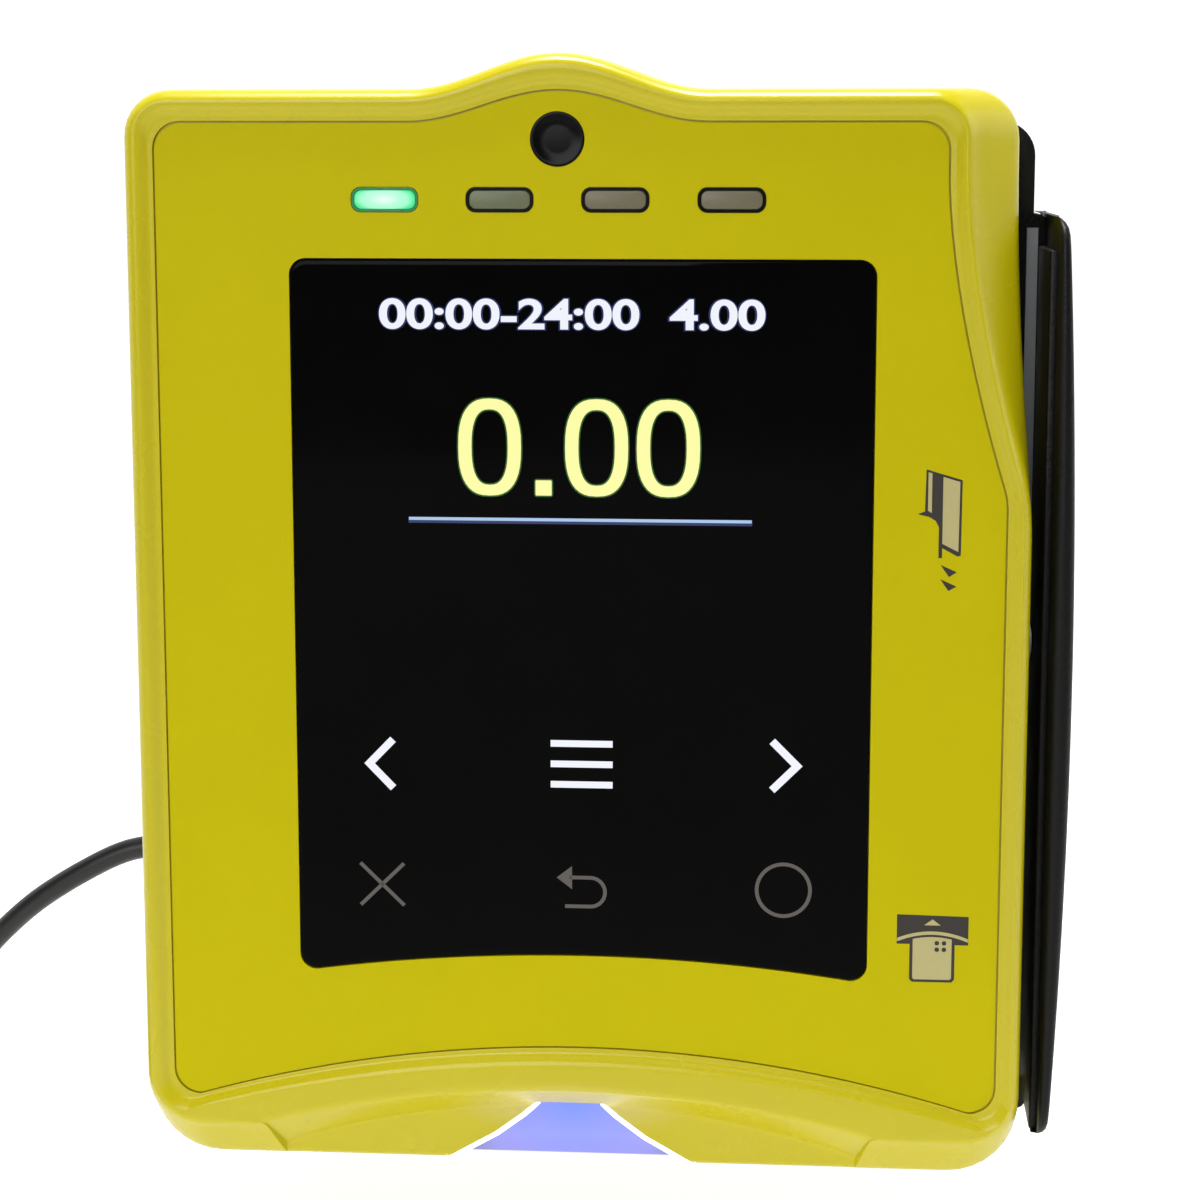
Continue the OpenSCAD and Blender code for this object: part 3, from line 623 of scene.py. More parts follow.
def screw_part(shank, length, head, tall):
    """A screw along Y with its head's underside at 0 and a hexagon recess."""
    bm = bmesh.new()
    pitch = 0.5 if shank < 1 else 0.7
    rows = [(0.0, -length), (shank * 0.6, -length), (shank * 0.85, -length + 0.4)]
    for i in range(int((length - 1.2) / pitch)):
        at = -length + 0.6 + i * pitch
        rows += [(shank * 0.86, at), (shank, at + pitch * 0.45)]
    rows += [(shank, -0.2), (shank, 0.0), (head - 0.12, 0.0), (head, 0.15), (head, tall * 0.6),
             (head * 0.86, tall * 0.92), (head * 0.6, tall), (head * 0.5, tall), (head * 0.5, tall * 0.45),
             (0.0, tall * 0.4)]
    turned(bm, rows, "y", (0, 0, 0), sides=24, six=(len(rows) - 3, len(rows) - 2))
    return bm


# ---------------------------------------------------------------- the lead
def smooth_line(points, per):
    """A Catmull-Rom line through points."""
    pts = [np.array(p, float) for p in points]
    pts = [2 * pts[0] - pts[1]] + pts + [2 * pts[-1] - pts[-2]]
    out = []
    for i in range(1, len(pts) - 2):
        p0, p1, p2, p3 = pts[i - 1:i + 3]
        for k in range(per):
            t = k / per
            out.append(0.5 * (2 * p1 + (p2 - p0) * t + (2 * p0 - 5 * p1 + 4 * p2 - p3) * t * t
                              + (3 * p1 - p0 - 3 * p2 + p3) * t ** 3))
    return out + [pts[-2]]


def tube(bm, line, r, sides=14):
    """A round tube along a line of points in mm, closed at both ends."""
    line = [Vector(p) for p in line]
    side = Vector((0.05, 1, 0.1))
    rings = []
    for i, p in enumerate(line):
        along = (line[min(i + 1, len(line) - 1)] - line[max(i - 1, 0)]).normalized()
        side = (side - along * side.dot(along)).normalized()
        up = along.cross(side)
        rings.append([p + (side * math.cos(a) + up * math.sin(a)) * r
                      for a in (2 * math.pi * k / sides for k in range(sides))])
    loft(bm, rings)


# The lead's route from its plug down to the coil, and from the coil to its end connector.
LEAD = ((-57, -17, -32.5), (-58.6, -17, -32.7), (-60.6, -17, -33.2), (-63, -17, -34.2),
        (-66, -17, -35.8), (-69, -16.9, -37.6), (-72.5, -16.7, -40), (-76, -16.2, -43),
        (-79.5, -15.4, -46.6), (-82.6, -14, -50.8), (-85.2, -12.3, -55.4), (-87.4, -10.5, -60.2),
        (-89.8, -8.5, -65), (-92.8, -6.5, -69.4), (-96.6, -4.7, -72.6), (-100.8, -3.4, -74.2),
        (-104.6, -2.9, -74.6), (-108, -2.8, -74.6))
TAIL = ((-105, -43.9, -67.4), (-101, -44.2, -68.2), (-97, -44.9, -69.6), (-93, -45.9, -71),
        (-89, -47.2, -71.9), (-85.5, -48.5, -72.3))
COIL, COIL_R = (-116.0, -24.0), 16.5


def coil_line(d):
    """The coil's turns: four layers, each turn a diameter from the next, and each layer
    in the hollows of the one below."""
    wide, nested = [3, 1, -1, -3], [-2, 0, 2]
    radii = [(COIL_R + d / 2 * k, layer) for layer, row in
             enumerate((wide, nested, wide, nested)) for k in row]
    rise = d * math.sqrt(3) / 2
    per, out = 30, []
    for n, (r, layer) in enumerate(radii):
        following = radii[min(n + 1, len(radii) - 1)]
        last = n == len(radii) - 1
        for i in range(per // 2 if last else per):
            share = i / per
            # the step to the next turn takes the last fifth of this one
            s = min(max((share - 0.8) / 0.2, 0.0), 1.0)
            s = s * s * (3 - 2 * s)
            radius, level = lerp(r, following[0], s), lerp(layer, following[1], s)
            a = math.pi / 2 + 2 * math.pi * share
            out.append((COIL[0] + radius * math.cos(a), COIL[1] + radius * math.sin(a),
                        FLOOR_Z + d / 2 + rise * level))
    return out


# ---------------------------------------------------------------- settings
class TerminalSizes(bpy.types.PropertyGroup):
    """Sizes of the visible details."""
    rim_edge: bpy.props.FloatProperty(
        name="Rim edge", description="Rounding of the rim's outer edge, in mm", default=1.25,
        min=0.3, max=2)
    rim_crest: bpy.props.FloatProperty(
        name="Rim crest", description="Rounding where the rim falls to the film, in mm", default=0.95,
        min=0.2, max=2)
    film_gap: bpy.props.FloatProperty(
        name="Film gap", description="Gap round the film, in mm", default=0.2, min=0.05, max=0.4)
    lead_length: bpy.props.FloatProperty(
        name="Lead length", description="Real length of the aerial lead", default=1.5, min=0.5, max=5,
        unit="LENGTH")
    lead_diameter: bpy.props.FloatProperty(
        name="Lead diameter", description="Outside diameter of the aerial lead", default=0.0028,
        min=0.001, max=0.006, unit="LENGTH")


class TerminalColours(bpy.types.PropertyGroup):
    """Colours of what is lit or printed."""
    digits: bpy.props.FloatVectorProperty(
        name="Amount", description="Colour of the amount on the screen", subtype="COLOR", size=3,
        default=linear("FFFFA8")[:3], min=0, max=1)
    keys: bpy.props.FloatVectorProperty(
        name="Lit keys", description="Colour of the lit keys", subtype="COLOR", size=3,
        default=linear("F4F6FF")[:3], min=0, max=1)
    resting_keys: bpy.props.FloatVectorProperty(
        name="Resting keys", description="Colour of the unlit keys", subtype="COLOR", size=3,
        default=linear("5A544E")[:3], min=0, max=1)
    floor: bpy.props.FloatVectorProperty(
        name="Floor", description="Colour of the floor", subtype="COLOR", size=3,
        default=linear("F2F2F0")[:3], min=0, max=1)


def sizes():
    return bpy.context.scene.terminal_sizes


def colours():
    return bpy.context.scene.terminal_colours


# ---------------------------------------------------------------- pieces
class TERMINAL_OT_camera(bpy.types.Operator):
    """Sets the camera a little above and to the right of the face"""
    bl_idname = "terminal.camera"
    bl_label = "Camera"

    def execute(self, context):
        data = bpy.data.cameras.new("camera")
        data.lens, data.sensor_width = 84.66, 36.0
        data.clip_start, data.clip_end = 0.01, 20
        camera = in_scene("camera", data)
        aim, distance_back = Vector((2.65, Y_RIM, 5.49)) * MM, 0.3136
        aside, above = math.radians(4.68), math.radians(9.03)
        back = Vector((math.sin(aside) * math.cos(above), -math.cos(aside) * math.cos(above),
                       math.sin(above)))
        camera.location = aim + back * distance_back
        camera.rotation_mode = "QUATERNION"
        camera.rotation_quaternion = (-back).to_track_quat("-Z", "Y")
        context.scene.camera = camera
        return {"FINISHED"}


class TERMINAL_OT_lead(bpy.types.Operator):
    """Builds the aerial lead with its plug, coil, tie and end connector"""
    bl_idname = "terminal.lead"
    bl_label = "Aerial lead"

    def execute(self, context):
        length, thick = sizes().lead_length, sizes().lead_diameter
        d = thick / MM
        joined = smooth_line(LEAD + ((-112, -3.0, -74.6),), 4)
        coil = coil_line(d)
        out = smooth_line(((-112.0, -43.35, -67.3), (-108.5, -43.5, -67.25)) + TAIL, 4)
        line = joined + coil[1:] + out
        bm = bmesh.new()
        tube(bm, line, d / 2)
        cord = piece("aerial_lead", bm, "lead_jacket", sharp=60,
                     stands_for=("antenna_lead", "antenna_lead_coil", "antenna_lead_tail"))
        # plug: a hexagon coupling nut, a collar and a crimped ferrule with a sleeve over the lead
        bm = bmesh.new()
        turned(bm, [(3.15, -46.6), (3.15, -43.0), (3.5, -42.9), (4.05, -42.95), (4.5, -43.4), (4.5, -48.6),
                    (4.1, -49.3), (3.4, -49.5), (3.0, -49.6), (3.0, -51.2), (2.7, -51.5), (2.1, -51.55),
                    (2.1, -52.2), (1.9, -52.4), (2.1, -52.6), (2.1, -53.2), (1.9, -53.4), (2.1, -53.6),
                    (2.1, -55.4), (1.75, -57.0), (0.0, -57.0), (0.0, -46.6)],
               "x", (0, -17.0, -32.5), sides=48, six=(4, 5))
        plug = piece("aerial_plug", bm, "gold_brass", stands_for=("antenna_plug",))
        # end connector, lying on the floor beside the coil
        bm = bmesh.new()
        turned(bm, [(0.0, 0.0), (1.8, 0.0), (2.1, 0.4), (2.1, 2.0), (1.9, 2.2), (2.1, 2.4), (2.1, 3.2),
                    (1.9, 3.4), (2.1, 3.6), (2.1, 5.9), (2.7, 6.0), (3.0, 6.3), (3.0, 7.8), (3.7, 7.9),
                    (4.2, 8.3), (4.2, 14.0), (3.8, 14.5), (3.1, 14.5), (3.1, 10.2), (0.5, 10.0),
                    (0.5, 13.2), (0.0, 13.3)], "z", (0, 0, 0), sides=48, six=(14, 15))
        mesh = settled(bm, "aerial_connector")
        mesh.transform(Matrix.Translation(Vector(TAIL[-1]) * MM)
                       @ Matrix.Rotation(math.radians(-20), 4, "Z")
                       @ Matrix.Rotation(math.radians(90), 4, "Y"))
        end = piece("aerial_connector", mesh, "gold_brass", stands_for=("lead_connector",))
        tie = dressed("lead_tie_strap", "lead_tie", "black_trim", 0.25)
        return {"FINISHED"}


def bottom_arch(share):
    """The arched recess under the face at a share of its depth: its half-width and line."""
    half = lerp(35.0, 33.2, share)

    def line(x):
        front = circle_z(x, ARCH_X, 135, -51.4)
        back = circle_z(min(max(x, ARCH_X - 33.2), ARCH_X + 33.2), ARCH_X, 103, -54.6)
        return lerp(front, back, share)
    return half, line


class TERMINAL_OT_shell(bpy.types.Operator):
    """Builds the yellow front shell with its raised rim, arched recess and thumb notch"""
    bl_idname = "terminal.shell"
    bl_label = "Front shell"

    def execute(self, context):
        s = sizes()
        h0, f0 = bottom_arch(0.0)
        h1, f1 = bottom_arch(1.1 / 4.6)
        h2, f2 = bottom_arch(1.0)
        gap = s.film_gap
        rings = [
            outline(Y_SPLIT, -50.2, 48.9, 50.2, 61.6, -61.55, 8, 5.5, 3.9, 5.0),
            outline(Y_LIP, -50.2, 48.0, 50.2, 61.5, -61.5, 8, 5.5, 3.9, 5.0),
            outline(Y_LIP, -50.2, 48.0, 50.2, 61.5, -61.5, 8, 5.5, 3.9, 5.0, h2, f2),
            outline(Y_RIM + 1.1, -50.2, 43.5, 50.2, 61.4, -57.3, 6.5, 5, 3.9, 4.0, h1, f1),
            outline(Y_RIM, -49.3, 42.5, 49.3, 60.5, -56.3, 5.6, 4.2, 3.9, 3.4, h0, f0),
            panel_ring(Y_RIM, 1.75),
            panel_ring(Y_FILM, 0.85),
            panel_ring(Y_FILM, gap),
            panel_ring(Y_SEAT, gap),
            glass_ring(Y_SEAT, 0.12),
            glass_ring(-49.3, 0.12),
            glass_ring(-49.3, -2.2),
            glass_ring(Y_WALL, -2.2),
            outline(Y_WALL, -47.8, 45.4, 47.8, 59.0, -49.5, 3, 3.4, 0),
            outline(Y_LIP_BACK, -47.8, 45.4, 47.8, 59.0, -49.5, 3, 3.4, 0),
            outline(Y_LIP_BACK, -47.8, 45.4, 47.8, 59.0, -59.0, 5.6, 3.4, 0),
            outline(Y_SPLIT, -47.8, 46.3, 47.8, 57.9, -59.0, 5.6, 3.4, 0),
        ]
        radii = [0, 0.9, 0.5, 1.3, s.rim_edge, s.rim_crest, 0.4, 0.08, 0, 0, 0, 0, 0, 0, 0, 0, 0]
        steps = [1, 4, 4, 5, 6, 6, 5, 3, 1, 1, 1, 1, 1, 1, 1, 1, 1]
        bm = bmesh.new()
        loft(bm, rounded(rings, radii, steps), around=True)
        shell = piece("front_shell", bm, "yellow_shell",
                      stands_for=("front_housing",), sharp=32)
        notch, mouth = bmesh.new(), bmesh.new()
        extruded(notch, bell(0), Y_LIP - 1.2, Y_LIP_BACK + 0.8)
        box_in(mouth, (CARD_X - 27.6, Y_LIP_BACK + 0.02, -66), (CARD_X + 27.6, Y_LIP_BACK + 4.3, -58))
        side = bmesh.new()
        box_in(side, (44, -45.3, -7.3), (55, -32.7, 7.3))
        cut(shell, [notch, mouth, side])
        finished(shell.data, "yellow_shell", 32)
        return {"FINISHED"}


LIGHT_X = [CENTRE_X + 12.7 * k for k in (-1.5, -0.5, 0.5, 1.5)]


class TERMINAL_OT_film(bpy.types.Operator):
    """Builds the yellow film with its openings and printed pictograms"""
    bl_idname = "terminal.film"
    bl_label = "Film and pictograms"

    def execute(self, context):
        edge = [(p[0], p[2]) for p in panel_ring(0, 0.0)]
        glass = [(p[0], p[2]) for p in glass_ring(0, 0.12)][::-1]
        holes = [round_rect(x, LIGHT_Z, 7.5, 2.8, 1.1)[::-1] for x in LIGHT_X]
        holes.append(arc(CENTRE_X, SENSOR_Z, 3.0, 360, 7.5, 47))
        piece("face_film", plate("face_film", [edge, glass] + holes, Y_FILM, 0.5), "yellow_film",
              stands_for=("front_inlay",))
        dark = surface("dark_print", "28201A", 0.5, patch=(1, 0.8), grains=((0.2, 0.004),))
        cream = surface("cream_print", "B9AF76", 0.5, patch=(1, 0.94), grains=((0.2, 0.004),))
        # swipe sign: a slanted card with its stripe, the slot's line and two arrow heads
        dark_areas = [
            [(38.5, 20.3), (42.45, 19.15), (42.4, 10.8), (42.05, 10.7), (40.35, 11.6), (40.35, 10.5),
             (39.95, 10.5), (39.95, 13.9), (39.6, 14.6), (38.9, 15.05), (37.6, 15.35), (38.4, 15.65)],
            [(40.2, 9.75), (42.0, 8.95), (41.15, 8.4)], [(40.2, 8.15), (42.0, 7.35), (41.1, 6.85)],
            # chip sign: the mouth's bar
            [(36.1, -30.0), (44.1, -30.15), (44.1, -33.45), (42.6, -33.45), (42.6, -37.45), (42.3, -37.8),
             (37.85, -37.8), (37.55, -37.45), (37.55, -33.4), (36.1, -33.4)]]
        cream_areas = [
            [(38.72, 20.0), (39.14, 19.88), (39.14, 15.5), (38.72, 15.75)],
            [(40.35, 19.5), (42.2, 18.95), (42.12, 11.2), (40.35, 12.1)],
            [(39.15, -31.2), (40.08, -30.5), (41.0, -31.2)]]
        line = [(x, -32.75 + 0.85 * (1 - ((x - 40.1) / 4.0) ** 2)) for x in np.linspace(36.12, 44.08, 15)]
        cream_areas.append(line + [(x, z - 0.38) for x, z in line[::-1]])
        top = [(x, -33.4 + 0.85 * (1 - ((x - 40.1) / 4.0) ** 2)) for x in np.linspace(37.9, 42.25, 9)]
        cream_areas.append(top[::-1] + [(37.9, -37.3), (38.05, -37.5), (42.1, -37.5), (42.25, -37.3)])
        dots = [round_rect(40.6 + 0.8 * i, -33.25 - 0.75 * k, 0.5, 0.5, 0.2, 3) for i in (0, 1)
                for k in (0, 1)]
        for name, areas, lift, finish in (("signs_dark", dark_areas, 0.02, dark),
                                          ("signs_cream", cream_areas, 0.035, cream),
                                          ("signs_dots", dots, 0.05, dark)):
            bm = bmesh.new()
            for area in areas:
                extruded(bm, area, Y_FILM - lift, Y_FILM + 0.05)
            piece(name, bm, finish)
        return {"FINISHED"}


def ribbon(points, width, closed=False):
    """The outline of a stroke of even width along points in X and Z."""
    pts = [Vector(p) for p in points]
    left, right = [], []
    count = len(pts)
    for i, p in enumerate(pts):
        a = pts[(i - 1) % count] if closed or i else None
        b = pts[(i + 1) % count] if closed or i < count - 1 else None
        u = (p - a).normalized() if a is not None else (b - p).normalized()
        v = (b - p).normalized() if b is not None else u
        side = Vector((-(u + v).y, (u + v).x)).normalized()
        k = width / 2 / max(side.dot(Vector((-u.y, u.x))), 0.4)
        left.append(tuple(p + side * k))
        right.append(tuple(p - side * k))
    return left, right


def zero(x, z, grow):
    """The outline of a zero and of its hole, as squared ovals."""
    def oval(w, h, n=40):
        return [(x + w * math.copysign(abs(math.cos(a)) ** 0.78, math.cos(a)),
                 z + h * math.copysign(abs(math.sin(a)) ** 0.78, math.sin(a)))
                for a in (2 * math.pi * i / n for i in range(n))]
    return [oval(3.5 + grow, 5.4 + grow), oval(2.02 - grow, 4.2 - grow)[::-1]]


# How far lit shapes, and the fringes under them, stand out of the glass.
LIT_LIFT, FRINGE_LIFT = 0.03, 0.015


class TERMINAL_OT_screen(bpy.types.Operator):
    """Builds the touch glass and what is lit behind it"""
    bl_idname = "terminal.screen"
    bl_label = "Touch glass and screen"

    def execute(self, context):
        bm = bmesh.new()
        loft(bm, rounded([glass_ring(-49.6, 0), glass_ring(Y_FILM, 0), glass_ring(Y_FILM, -0.8)],
                         [0, 0.3, 0], [1, 5, 1]) + [glass_ring(Y_FILM, -1.2)])
        piece("glass", bm, "touch_glass", stands_for=("touch_glass",), sharp=40)
        tone = colours()
        made = {"amount": lit("lit_amount", tone.digits, 1.0),
                "amount_fringe": lit("lit_amount_fringe", linear("2A6A10"), 0.7),
                "keys": lit("lit_keys", tone.keys, 1.0),
                "resting_keys": lit("dim_keys", tone.resting_keys, 0.85),
                "rule": lit("lit_rule", linear("A9C8EE"), 1.0),
                "rule_fringe": lit("lit_rule_fringe", linear("1C2E6A"), 0.8)}

        # the amount: three zeros and a point, over a wider dark fringe
        for key, grow, lift in (("amount", 0.0, LIT_LIFT), ("amount_fringe", 0.16, FRINGE_LIFT)):
            loops = [loop for x in (-9.7, 2.2, 10.15) for loop in zero(x, 22.35, grow)]
            loops.append(round_rect(-3.7, 17.85, 1.8 + 2 * grow, 1.7 + 2 * grow, 0.12 + grow, 3))
            mesh = plate("screen_" + key, loops, Y_FILM - lift, lift + 0.1)
            piece("screen_" + key, mesh, made[key])

        def strokes(key, lines, lift=LIT_LIFT):
            bm = bmesh.new()
            for points, width, closed in lines:
                left, right = ribbon(points, width, closed)
                ys = (Y_FILM - lift, Y_FILM + 0.1)
                rings = [[(lx, y, lz) for y in ys] + [(rx, y, rz) for y in ys[::-1]]
                         for (lx, lz), (rx, rz) in zip(left, right)]
                loft(bm, rings, around=closed)
            piece("screen_" + key, bm, made[key])
        strokes("keys", [([(-20.9, -10.9), (-23.6, -13.7), (-20.9, -16.5)], 0.86, False),
                         ([(21.9, -10.4), (24.7, -13.2), (21.9, -16.0)], 0.86, False)]
                + [([(-3.0, z), (4.0, z)], 0.76, False) for z in (-11.05, -13.4, -15.75)])
        turn = [(1.5 + 1.65 * math.sin(a), -28.2 + 1.68 * math.cos(a))
                for a in (math.pi * i / 14 for i in range(15))]
        ring = [(23.3 + 3.0 * math.cos(a), -27.5 + 3.0 * math.sin(a))
                for a in (2 * math.pi * i / 48 for i in range(48))]
        strokes("resting_keys", [([(-24.8, -25.3), (-19.8, -30.2)], 0.42, False),
                                 ([(-19.8, -25.3), (-24.8, -30.2)], 0.42, False),
                                 ([(-0.9, -26.52)] + turn + [(-1.4, -29.88)], 0.42, False),
                                 (ring, 0.42, True)])
        strokes("rule", [([(-18.8, 14.3), (19.4, 14.3)], 0.34, False)])
        strokes("rule_fringe", [([(-18.85, 14.12), (19.45, 14.12)], 0.62, False)], FRINGE_LIFT)
        bm = bmesh.new()
        extruded(bm, [(-2.35, -26.55), (-0.6, -25.2), (-0.6, -27.9)], Y_FILM - LIT_LIFT, Y_FILM + 0.1)
        piece("screen_return_head", bm, made["resting_keys"])
        # the heading holds digits only: hours and a rate
        for name, grow, lift, key in (("screen_heading", 0.10, LIT_LIFT, "keys"),
                                      ("screen_heading_fringe", 0.22, FRINGE_LIFT, "rule_fringe")):
            text = bpy.data.curves.new(name, "FONT")
            text.body, text.size = "00:00-24:00  4.00", 1.0
            text.extrude, text.offset = 0.02, grow * 0.24
            mesh = baked(in_scene(name, text))
            co = np.zeros(len(mesh.vertices) * 3)
            mesh.vertices.foreach_get("co", co)
            co = co.reshape(-1, 3)
            low, high = co.min(0), co.max(0)
            wide, tall = 42.4 + 2 * grow, 3.2 + 2 * grow
            co[:, 0] = (co[:, 0] - low[0]) / (high[0] - low[0]) * wide - 21.8 - grow
            flat = (co[:, 1] - low[1]) / (high[1] - low[1]) * tall + 35.45 - grow
            deep = np.where(co[:, 2] > 0, Y_FILM - lift, Y_FILM + 0.1)
            mesh.vertices.foreach_set("co", (np.stack([co[:, 0], deep, flat], 1) * MM).ravel())
            piece(name, resettled(mesh, name), made[key])
        return {"FINISHED"}


def window_rings(x, w, h, r, steps):
    """Rings of a light window at x: each step is a depth and how far the ring is grown."""
    return [[(px, y, pz) for px, pz in round_rect(x, LIGHT_Z, w + g, h + g, r + g / 2)]
            for y, g in steps]


class TERMINAL_OT_lights(bpy.types.Operator):
    """Builds the four light windows and the round sensor window"""
    bl_idname = "terminal.lights"
    bl_label = "Light and sensor windows"

    def execute(self, context):
        lit_green = glowing("lit_green_window", [(0.0, "EAFFF4"), (0.6, "AEFFD4"), (0.95, "30E48C")],
                            (LIGHT_X[0], LIGHT_Z), (4.0, 1.6), 0.95, base="1E5A3C")
        # painted light: the second window is no lamp; its glow, strongest towards the lit first window,
        # stands in for that window's spilt light
        painted_spill = glowing("faintly_lit_window", [(0.0, "5F7D4C"), (0.6, "68775A"), (1.0, "7B775C")],
                        (LIGHT_X[1] - 3.2, LIGHT_Z), (7.5, 5), 0.22, base="5C5E44")
        # painted light: the two unlit windows get a weak glow for their tone, though they are no lamps
        painted_idle_glow = glowing("idle_window", [(0.0, "8A8160"), (0.6, "847C60"), (1.0, "746C50")],
                       (LIGHT_X[2], LIGHT_Z), (26, 1.9), 0.14, base="655F49")
        for n, (x, finish) in enumerate(zip(LIGHT_X, (lit_green, painted_spill, painted_idle_glow, painted_idle_glow))):
            bm = bmesh.new()
            loft(bm, window_rings(x, 6.7, 2.0, 0.78, ((Y_WALL, 0), (Y_FILM + 0.12, 0),
                                                      (Y_FILM + 0.03, -0.08), (Y_FILM, -0.3))))
            piece(f"light_window_{n + 1}", bm, finish,
                  stands_for=("light_pipes",) if n == 0 else ())
        # painted light: the frame round the lit window is coloured green for the LED's light on it; the
        # other frames stay black
        painted_green_light = surface("green_lit_frame", "0C7A3C", 0.3, patch=(1, 0.9))
        for name, xs, finish in (("light_frame_lit", LIGHT_X[:1], painted_green_light),
                                 ("light_frames", LIGHT_X[1:], FINISH["black_trim"])):
            bm = bmesh.new()
            for x in xs:
                loft(bm, window_rings(x, 7.42, 2.72, 1.08, (
                    (-50.0, 0), (Y_FILM, 0), (Y_FILM - 0.06, -0.12), (Y_FILM - 0.06, -0.55),
                    (Y_FILM + 0.02, -0.68), (-50.0, -0.68))), around=True)
            piece(name, bm, finish)
        bm = bmesh.new()
        turned(bm, [(0.0, -50.6), (2.95, -50.6), (2.95, -51.05), (2.88, -51.13), (2.6, -51.16),
                    (2.45, -51.1), (1.4, -51.13), (0.0, -51.14)], "y", (CENTRE_X, 0, SENSOR_Z), sides=64)
        piece("sensor_lens", bm, "black_trim", stands_for=("sensor_window",))
        return {"FINISHED"}


class TERMINAL_OT_mouth(bpy.types.Operator):
    """Builds the lit guide behind the card mouth's thumb notch and the notch's edge, with the guide's light
    painted on it as a glow
    """
    bl_idname = "terminal.mouth"
    bl_label = "Card mouth light"

    def execute(self, context):
        glow = glowing("lit_blue_guide", [(0.0, "7C98FF"), (0.45, "949EFF"), (0.8, "A09EEC"),
                                          (1.0, "9492C4")], (CARD_X, -56.0), (15, 10), 0.85,
                       base="3A3F78")
        bm = bmesh.new()
        box_in(bm, (CARD_X - 24, -43.4, -62.0), (CARD_X + 24, -41.4, -51.7), 0.35, 3)
        piece("mouth_guide", bm, glow,
              stands_for=("mouth_light_guide",))
        # the lip's cut edge carries the guide's light, painted on as a glow though the edge is no lamp
        edge = glowing("lit_lip_edge", [(0.0, "F2F4FF"), (1.0, "E8E8EC")], (CARD_X, -56), (15, 9), 0.9,
                       base="E8E8EC")
        bm = bmesh.new()
        rows = []
        for (xo, zo), (xi, zi) in zip(bell(0.02), bell(-0.42)):
            zo, zi = max(zo, -61.45), max(zi, -61.45)
            rows.append([(xo, Y_LIP - 0.02, zo), (xi, Y_LIP + 0.12, zi), (xi, Y_LIP_BACK, zi),
                         (xo, Y_LIP_BACK, zo)])
        loft(bm, rows)
        piece("notch_edge", bm, edge)
        return {"FINISHED"}


class TERMINAL_OT_rail(bpy.types.Operator):
    """Builds the black rail that forms the swipe slot's outer wall"""
    bl_idname = "terminal.rail"
    bl_label = "Swipe rail"

    def execute(self, context):
        low, high, inner = -56.8, 47.8, 52.55
        bow, furthest = 862, 55.1
        ends = (0, 0.25, 0.7, 1.3, 2.1, 3.1, 4.2)
        stations = sorted({*(low + d for d in ends), *(high - d for d in ends),
                           *np.linspace(low + 7, high - 7, 22)})
        quarter = [math.pi / 2 * i / 6 for i in range(7)]
        rings = []
        for z in stations:
            near = min(z - low, high - z)
            front, side = (r - math.sqrt(max(r * r - max(r - near, 0) ** 2, 0)) for r in (4.2, 2.0))
            outer = furthest - bow + math.sqrt(bow ** 2 - (z + 4.5) ** 2) - side * 0.8
            y = -50.2 + front
            r = min(1.1, (outer - inner) / 2 - 0.02)
            section = [(inner + r - r * math.cos(a), y + r - r * math.sin(a)) for a in quarter]
            section += [(outer - r + r * math.sin(a), y + r - r * math.cos(a)) for a in quarter]
            section += [(outer, Y_SPLIT), (outer, -21.6), (outer - 0.5, -21.05), (53.0, -21.05),
                        (inner, -21.6), (inner, Y_SPLIT)]
            rings.append([(x, yy, z) for x, yy in section])
        bm = bmesh.new()
        loft(bm, rings)
        box_in(bm, (51.7, -46.0, -56.6), (52.8, Y_SPLIT, 44.0), 0.3, 3)
        for z in (-34, 26):
            box_in(bm, (43.1, -22.0, z - 6), (54.0, -19.6, z + 6), 0.5, 3)
        piece("slot_rail", bm, "black_shell", stands_for=("swipe_rail",), sharp=38)
        return {"FINISHED"}


class TERMINAL_OT_rear(bpy.types.Operator):
    """Builds the rear case, its door, button and socket with softened edges"""
    bl_idname = "terminal.rear"
    bl_label = "Rear case"

    def execute(self, context):
        dressed("rear_case", "rear_housing", "black_shell", 0.7, 3)
        dressed("sim_cover", "sim_door", "black_shell", 0.2, body="sim_door")
        dressed("service_key", "service_button", "grey_plastic", 0.25, 3, body="service_button")
        dressed("harness_block", "harness_socket", "black_trim", 0.15)
        dressed("aerial_jack", "antenna_jack", "gold_brass", 0.12)
        dressed("head_case", "mag_head", "polished_steel", 0.15, body="mag_head")
        pin = bmesh.new()
        box_in(pin, (-0.32, -4.4, -0.32), (0.32, 0, 0.32), 0.12, 2)
        repeated("harness_pins", pin, [(-14.7 + 4.2 * i, -1.4, -10.3 + 4.6 * k) for i in range(8)
                                       for k in (0, 1)], "gold_brass")
        return {"FINISHED"}


